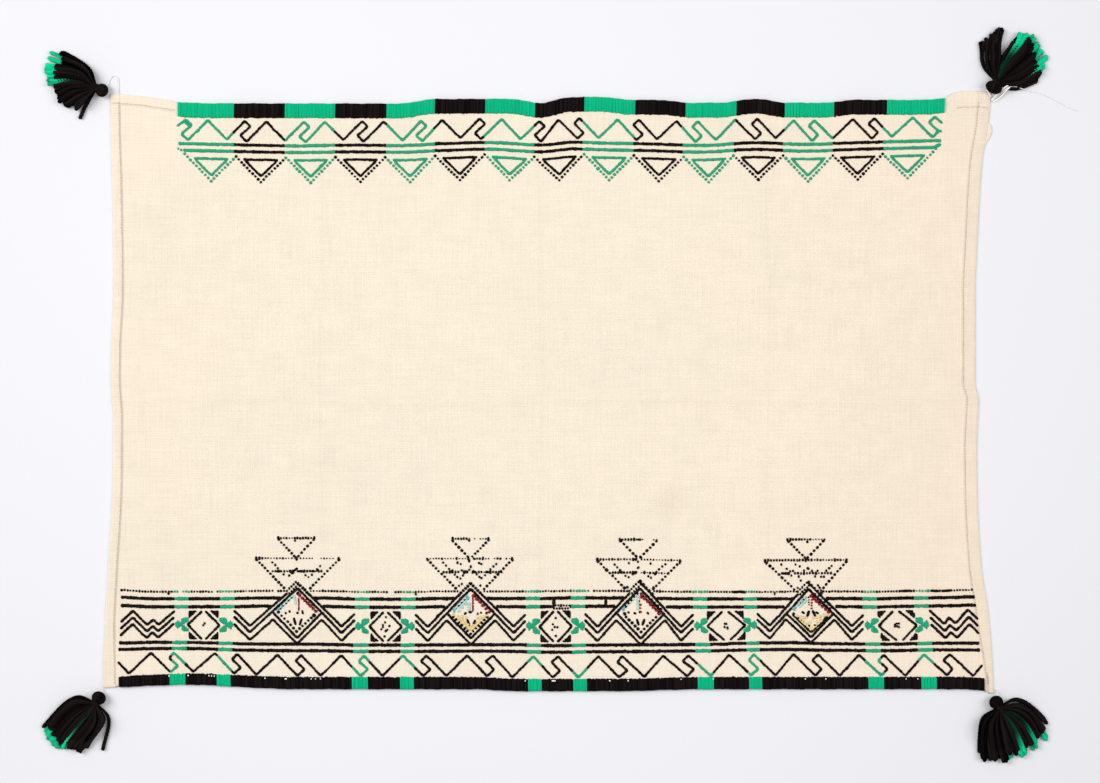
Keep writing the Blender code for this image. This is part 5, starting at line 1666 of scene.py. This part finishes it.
# Locks of each tassel: first and last share across the fan, how many strands, lowest and highest level,
# nearest and furthest tip
LOCKS = {
    "north_west": {
        "black": (
            (0.0, 0.02, 3, 0, 2, 1.0, 1.05), (0.04, 0.12, 7, 2, 3, 0.82, 0.92),
            (0.16, 0.2, 5, 2, 3, 0.9, 1.02), (0.235, 0.345, 11, 2, 3, 0.84, 1.02),
            (0.405, 0.56, 15, 0, 3, 0.84, 1.0), (0.585, 0.68, 9, 0, 3, 0.86, 0.98),
            (0.7, 0.8, 9, 0, 3, 0.78, 0.94), (0.82, 0.92, 8, 0, 3, 0.6, 0.8),
            (0.97, 0.97, 1, 0, 0, 0.97, 0.98), (0.372, 0.378, 1, 2, 2, 0.8, 0.86),
        ),
        "green": (
            (0.06, 0.07, 2, 0, 1, 1.24, 1.28), (0.12, 0.14, 2, 0, 1, 1.16, 1.24),
            (0.18, 0.3, 11, 0, 1, 1.1, 1.32), (0.34, 0.4, 6, 0, 2, 1.04, 1.22),
        ),
    },
    "north_east": {
        "black": (
            (0.0, 0.01, 2, 0, 0, 0.98, 1.03), (0.085, 0.095, 2, 0, 0, 1.02, 1.1),
            (0.165, 0.21, 10, 0, 3, 1.06, 1.15), (0.225, 0.28, 12, 0, 3, 1.13, 1.22),
            (0.305, 0.32, 3, 0, 2, 0.84, 0.9), (0.345, 0.36, 3, 2, 3, 0.94, 1.02),
            (0.4, 0.4, 1, 3, 3, 0.78, 0.8), (0.465, 0.47, 2, 4, 5, 0.98, 1.05),
            (0.485, 0.51, 6, 4, 5, 0.94, 1.02), (0.54, 0.58, 7, 4, 5, 0.9, 1.0),
            (0.61, 0.67, 8, 3, 4, 0.78, 0.98), (0.69, 0.76, 9, 2, 3, 0.74, 0.98),
            (0.79, 0.82, 5, 2, 3, 0.84, 1.0), (0.84, 0.86, 4, 1, 2, 0.9, 1.04),
            (0.885, 0.925, 7, 0, 2, 0.98, 1.08), (0.945, 0.965, 5, 0, 1, 0.86, 1.0),
            (0.985, 0.995, 2, 0, 0, 0.96, 1.03),
        ),
        "green": (
            (0.34, 0.4, 8, 2, 3, 1.0, 1.14), (0.41, 0.48, 10, 2, 3, 1.08, 1.22),
            (0.5, 0.53, 4, 1, 2, 1.14, 1.22), (0.565, 0.62, 6, 0, 1, 1.12, 1.24),
            (0.65, 0.69, 4, 0, 2, 1.16, 1.26), (0.755, 0.775, 3, 0, 1, 1.26, 1.38),
            (0.8, 0.865, 8, 0, 2, 1.08, 1.2),
        ),
    },
    "south_west": {
        "black": (
            (0.0, 0.01, 2, 0, 1, 0.98, 1.02), (0.05, 0.14, 7, 2, 3, 0.84, 0.92),
            (0.17, 0.27, 8, 2, 3, 0.84, 0.94), (0.3, 0.455, 14, 2, 3, 0.86, 0.99),
            (0.55, 0.62, 8, 0, 3, 0.92, 1.03), (0.64, 0.71, 8, 0, 3, 0.96, 1.06),
            (0.735, 0.81, 8, 0, 3, 0.96, 1.08), (0.83, 0.89, 8, 0, 3, 0.76, 0.96),
            (0.95, 0.95, 1, 0, 0, 0.97, 0.98), (0.49, 0.5, 1, 3, 3, 0.88, 0.92),
        ),
        "green": (
            (0.07, 0.2, 6, 0, 1, 1.0, 1.1), (0.22, 0.42, 10, 0, 1, 1.06, 1.17),
            (0.46, 0.52, 6, 0, 3, 0.98, 1.1),
        ),
    },
    "south_east": {
        "black": (
            (0.0, 0.08, 9, 0, 3, 0.95, 1.03), (0.11, 0.2, 10, 0, 3, 0.92, 1.04),
            (0.23, 0.33, 11, 0, 3, 0.95, 1.08), (0.35, 0.435, 9, 2, 3, 0.78, 0.95),
            (0.595, 0.615, 3, 2, 3, 0.82, 0.92), (0.635, 0.655, 4, 3, 4, 0.9, 0.97),
            (0.76, 0.83, 8, 1, 3, 0.86, 0.98), (0.85, 0.92, 8, 1, 3, 0.9, 1.0),
            (0.978, 1.0, 3, 0, 1, 0.92, 1.0), (0.455, 0.475, 2, 3, 4, 0.8, 0.86),
            (0.7, 0.71, 1, 2, 2, 0.66, 0.72),
        ),
        "green": (
            (0.31, 0.38, 4, 0, 1, 0.94, 1.04), (0.46, 0.57, 14, 0, 3, 0.94, 1.08),
            (0.65, 0.74, 10, 0, 2, 0.96, 1.08), (0.84, 0.865, 3, 0, 1, 1.12, 1.2),
        ),
    },
}


class MANTA_OT_tassels(bpy.types.Operator):
    """Spread the four tassels at the corners"""

    bl_idname = "manta.tassels"
    bl_label = "Tassels"

    def execute(self, context):
        for number, row in enumerate(TASSELS):
            fan = Fan(**row)
            self.spread(fan, "black", 300 + number)
            self.spread(fan, "green", 320 + number)
            self.wind_head(fan, 340 + number)
        return {"FINISHED"}

    def spread(self, fan, colour, seed):
        """All strands of one colour, lock by lock: spread over the lock's shares, levels taken in turn."""
        chance = np.random.default_rng(seed)
        parts = []
        for first, last, count, low, high, near, far in LOCKS[fan.name][colour]:
            place = (np.arange(count) + 0.5 + chance.uniform(-0.3, 0.3, count)) / count
            level = low + np.arange(count) % (high - low + 1)
            tips = chance.uniform(near, far, count)
            parts.append((between((first, last), place), level.astype(float), tips))
        share, level, tips = (np.concatenate(column) for column in zip(*parts))
        tips = tips + chance.normal(0.0, 0.03, len(tips))
        strands = strand_piece(f"strands_{fan.name}_{colour}", fan, share, level, tips, colour, seed + 100)
        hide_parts(f"tassel_{fan.name}_{colour}")

    def wind_head(self, fan, seed):
        """The strands folded over the head, each a ring of an ellipsoid, and the tie wound round the neck."""
        chance = np.random.default_rng(seed)
        along = np.append(pointing(fan.neck_azimuth), 0.0)
        side = np.array([-along[1], along[0], 0.0])
        up = np.array([0.0, 0.0, 1.0])
        turn = np.linspace(0.0, math.pi, HEAD_WINDINGS, endpoint=False)[:, None] + 0.2
        around = np.linspace(0.0, 2.0 * math.pi, 33)[None, :, None]
        half_long, half_wide = fan.head_half
        plane = half_wide * side * np.cos(turn) + HEAD_HALF_HIGH * up * np.sin(turn)
        centre = np.array([*fan.head, HEAD_MIDDLE])
        paths = centre + half_long * along * np.cos(around) + plane[:, None] * np.sin(around)
        paths[..., 2] = np.maximum(paths[..., 2], HEAD_LEAST)
        normal = np.cross(side * np.cos(turn) + up * np.sin(turn), along)
        across = np.broadcast_to(normal[:, None], paths.shape)
        head = tube_piece(f"head_{fan.name}", paths, across, 2.5, 1.9, 10, "black", chance.random(len(paths)),
                          plies=3, ply_depth=0.12, turns=yarn_turns(paths, 11.0))
        angle = np.linspace(0.0, 2.0 * math.pi * TIE_TURNS, 110)[:, None]
        shift = np.linspace(-TIE_HALF_LONG, TIE_HALF_LONG, 110)[:, None]
        centre = np.array([*fan.head, TIE_MIDDLE]) + NECK_OUT * along
        coil = centre + along * shift + TIE_RADIUS * (side * np.cos(angle) + up * np.sin(angle))
        tie = tube_piece(f"tie_{fan.name}", coil[None], np.broadcast_to(along, (1, *coil.shape)), 0.8, 0.8, 8,
                         "black", np.array([0.5]), plies=2, ply_depth=0.12, turns=yarn_turns(coil[None], 5.0))


class MANTA_OT_threads(bpy.types.Operator):
    """Lay the white threads that tie the tassels on"""

    bl_idname = "manta.threads"
    bl_label = "Tie threads"

    def execute(self, context):
        half = 0.5 * THREAD_THICK
        for name, route in (("north_east", LOOSE_THREAD), *SHORT_THREADS):
            path = curve_through(route, 90 if name == "north_east" else 24)[None]
            thread = tube_piece(f"thread_{name}", path, level_across(path), half, half, 10, "white",
                                np.array([0.6]), turns=yarn_turns(path, THREAD_TWIST), **THREAD_PLIES)
            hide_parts(f"tie_thread_{name}")
        paths = np.stack([curve_through(route, 24) for route in THREAD_BITS])
        bits = tube_piece("thread_north_east_bits", paths, level_across(paths), 1.0, 0.8, 8, "white",
                          np.ones(len(paths)), turns=yarn_turns(paths, THREAD_TWIST), **THREAD_PLIES)
        return {"FINISHED"}


class MANTA_OT_declare(bpy.types.Operator):
    bl_idname = "manta.declare"
    bl_label = "Declare the sheet"

    def execute(self, context):
        return {"FINISHED"}


# Each light's name, place and size in metres, its share of the power that the user sets, and its colour
LIGHTS = (
    ("left_light", (-3.2, 1.2, 2.9), (2.2, 2.6), 1.2, (1.0, 0.99, 0.98)),
    ("right_light", (3.4, 0.4, 2.8), (2.2, 2.6), 0.72, (1.0, 0.985, 0.97)),
)


def add_light(name, place, size, power, colour):
    """A soft rectangular light that faces the middle of the cloth."""
    data = bpy.data.lights.new(name, "AREA")
    data.shape = "RECTANGLE"
    data.size, data.size_y = size
    data.energy = power
    data.color = colour
    light = bpy.data.objects.new(name, data)
    bpy.context.scene.collection.objects.link(light)
    pitch = math.acos(place[2] / math.hypot(*place))
    light.location = place
    light.rotation_euler = (pitch, 0.0, math.atan2(place[1], place[0]) + 0.5 * math.pi)


class MANTA_OT_stage(bpy.types.Operator):
    """Set the floor, the soft light and the camera straight above"""

    bl_idname = "manta.stage"
    bl_label = "Stage"

    def execute(self, context):
        scene = context.scene
        settings = scene.manta_stage
        half = FLOOR_HALF
        mesh = bpy.data.meshes.new("floor")
        mesh.from_pydata([(-half, -half, 0.0), (half, -half, 0.0), (half, half, 0.0), (-half, half, 0.0)], [],
                         [(0, 1, 2, 3)])
        mesh.materials.append(floor_finish(settings.floor_colour))
        floor = bpy.data.objects.new("floor", mesh)
        scene.collection.objects.link(floor)
        world = bpy.data.worlds.new("soft studio")
        world.use_nodes = True
        background = world.node_tree.nodes["Background"]
        background.inputs["Color"].default_value = (0.97, 0.98, 1.0, 1.0)
        background.inputs["Strength"].default_value = settings.fill
        scene.world = world
        for name, place, size, share, colour in LIGHTS:
            add_light(name, place, size, settings.key * share, colour)
        camera_data = bpy.data.cameras.new("camera")
        camera_data.lens = settings.lens
        camera = bpy.data.objects.new("camera", camera_data)
        scene.collection.objects.link(camera)
        distance = PICTURE_WIDTH * MM * settings.lens / camera_data.sensor_width
        camera.location = (PICTURE_CENTRE[0] * MM, PICTURE_CENTRE[1] * MM, distance)
        scene.camera = camera
        scene.view_settings.view_transform = "Standard"
        return {"FINISHED"}


class MANTA_PT_panel(bpy.types.Panel):
    """Lists the steps that dress the manta"""

    bl_idname = "MANTA_PT_panel"
    bl_label = "Embroidered Manta"
    bl_space_type = "VIEW_3D"
    bl_region_type = "UI"
    bl_category = "Manta"

    def draw(self, context):
        scene = context.scene
        for group in (scene.manta_cloth, scene.manta_yarn, scene.manta_stage):
            for name in group.bl_rna.properties.keys():
                if name not in ("rna_type", "name"):
                    self.layout.prop(group, name)
        for step in STEPS:
            self.layout.operator(step.bl_idname)


STEPS = (MANTA_OT_stage, MANTA_OT_threads, MANTA_OT_cloth, MANTA_OT_wraps, MANTA_OT_upper_border,
         MANTA_OT_lower_border, MANTA_OT_hem_stitches, MANTA_OT_tassels, MANTA_OT_declare)
CLASSES = (ClothSettings, YarnSettings, StageSettings, *STEPS, MANTA_PT_panel)


def register():
    for each in CLASSES:
        bpy.utils.register_class(each)
    bpy.types.Scene.manta_cloth = bpy.props.PointerProperty(type=ClothSettings)
    bpy.types.Scene.manta_yarn = bpy.props.PointerProperty(type=YarnSettings)
    bpy.types.Scene.manta_stage = bpy.props.PointerProperty(type=StageSettings)


def unregister():
    del bpy.types.Scene.manta_stage
    del bpy.types.Scene.manta_yarn
    del bpy.types.Scene.manta_cloth
    for each in reversed(CLASSES):
        bpy.utils.unregister_class(each)


def main():
    register()
    bpy.ops.manta.stage()
    bpy.ops.manta.threads()
    bpy.ops.manta.cloth()
    bpy.ops.manta.wraps()
    bpy.ops.manta.upper_border()
    bpy.ops.manta.lower_border()
    bpy.ops.manta.hem_stitches()
    bpy.ops.manta.tassels()
    bpy.ops.manta.declare()


if __name__ == "__main__":
    main()
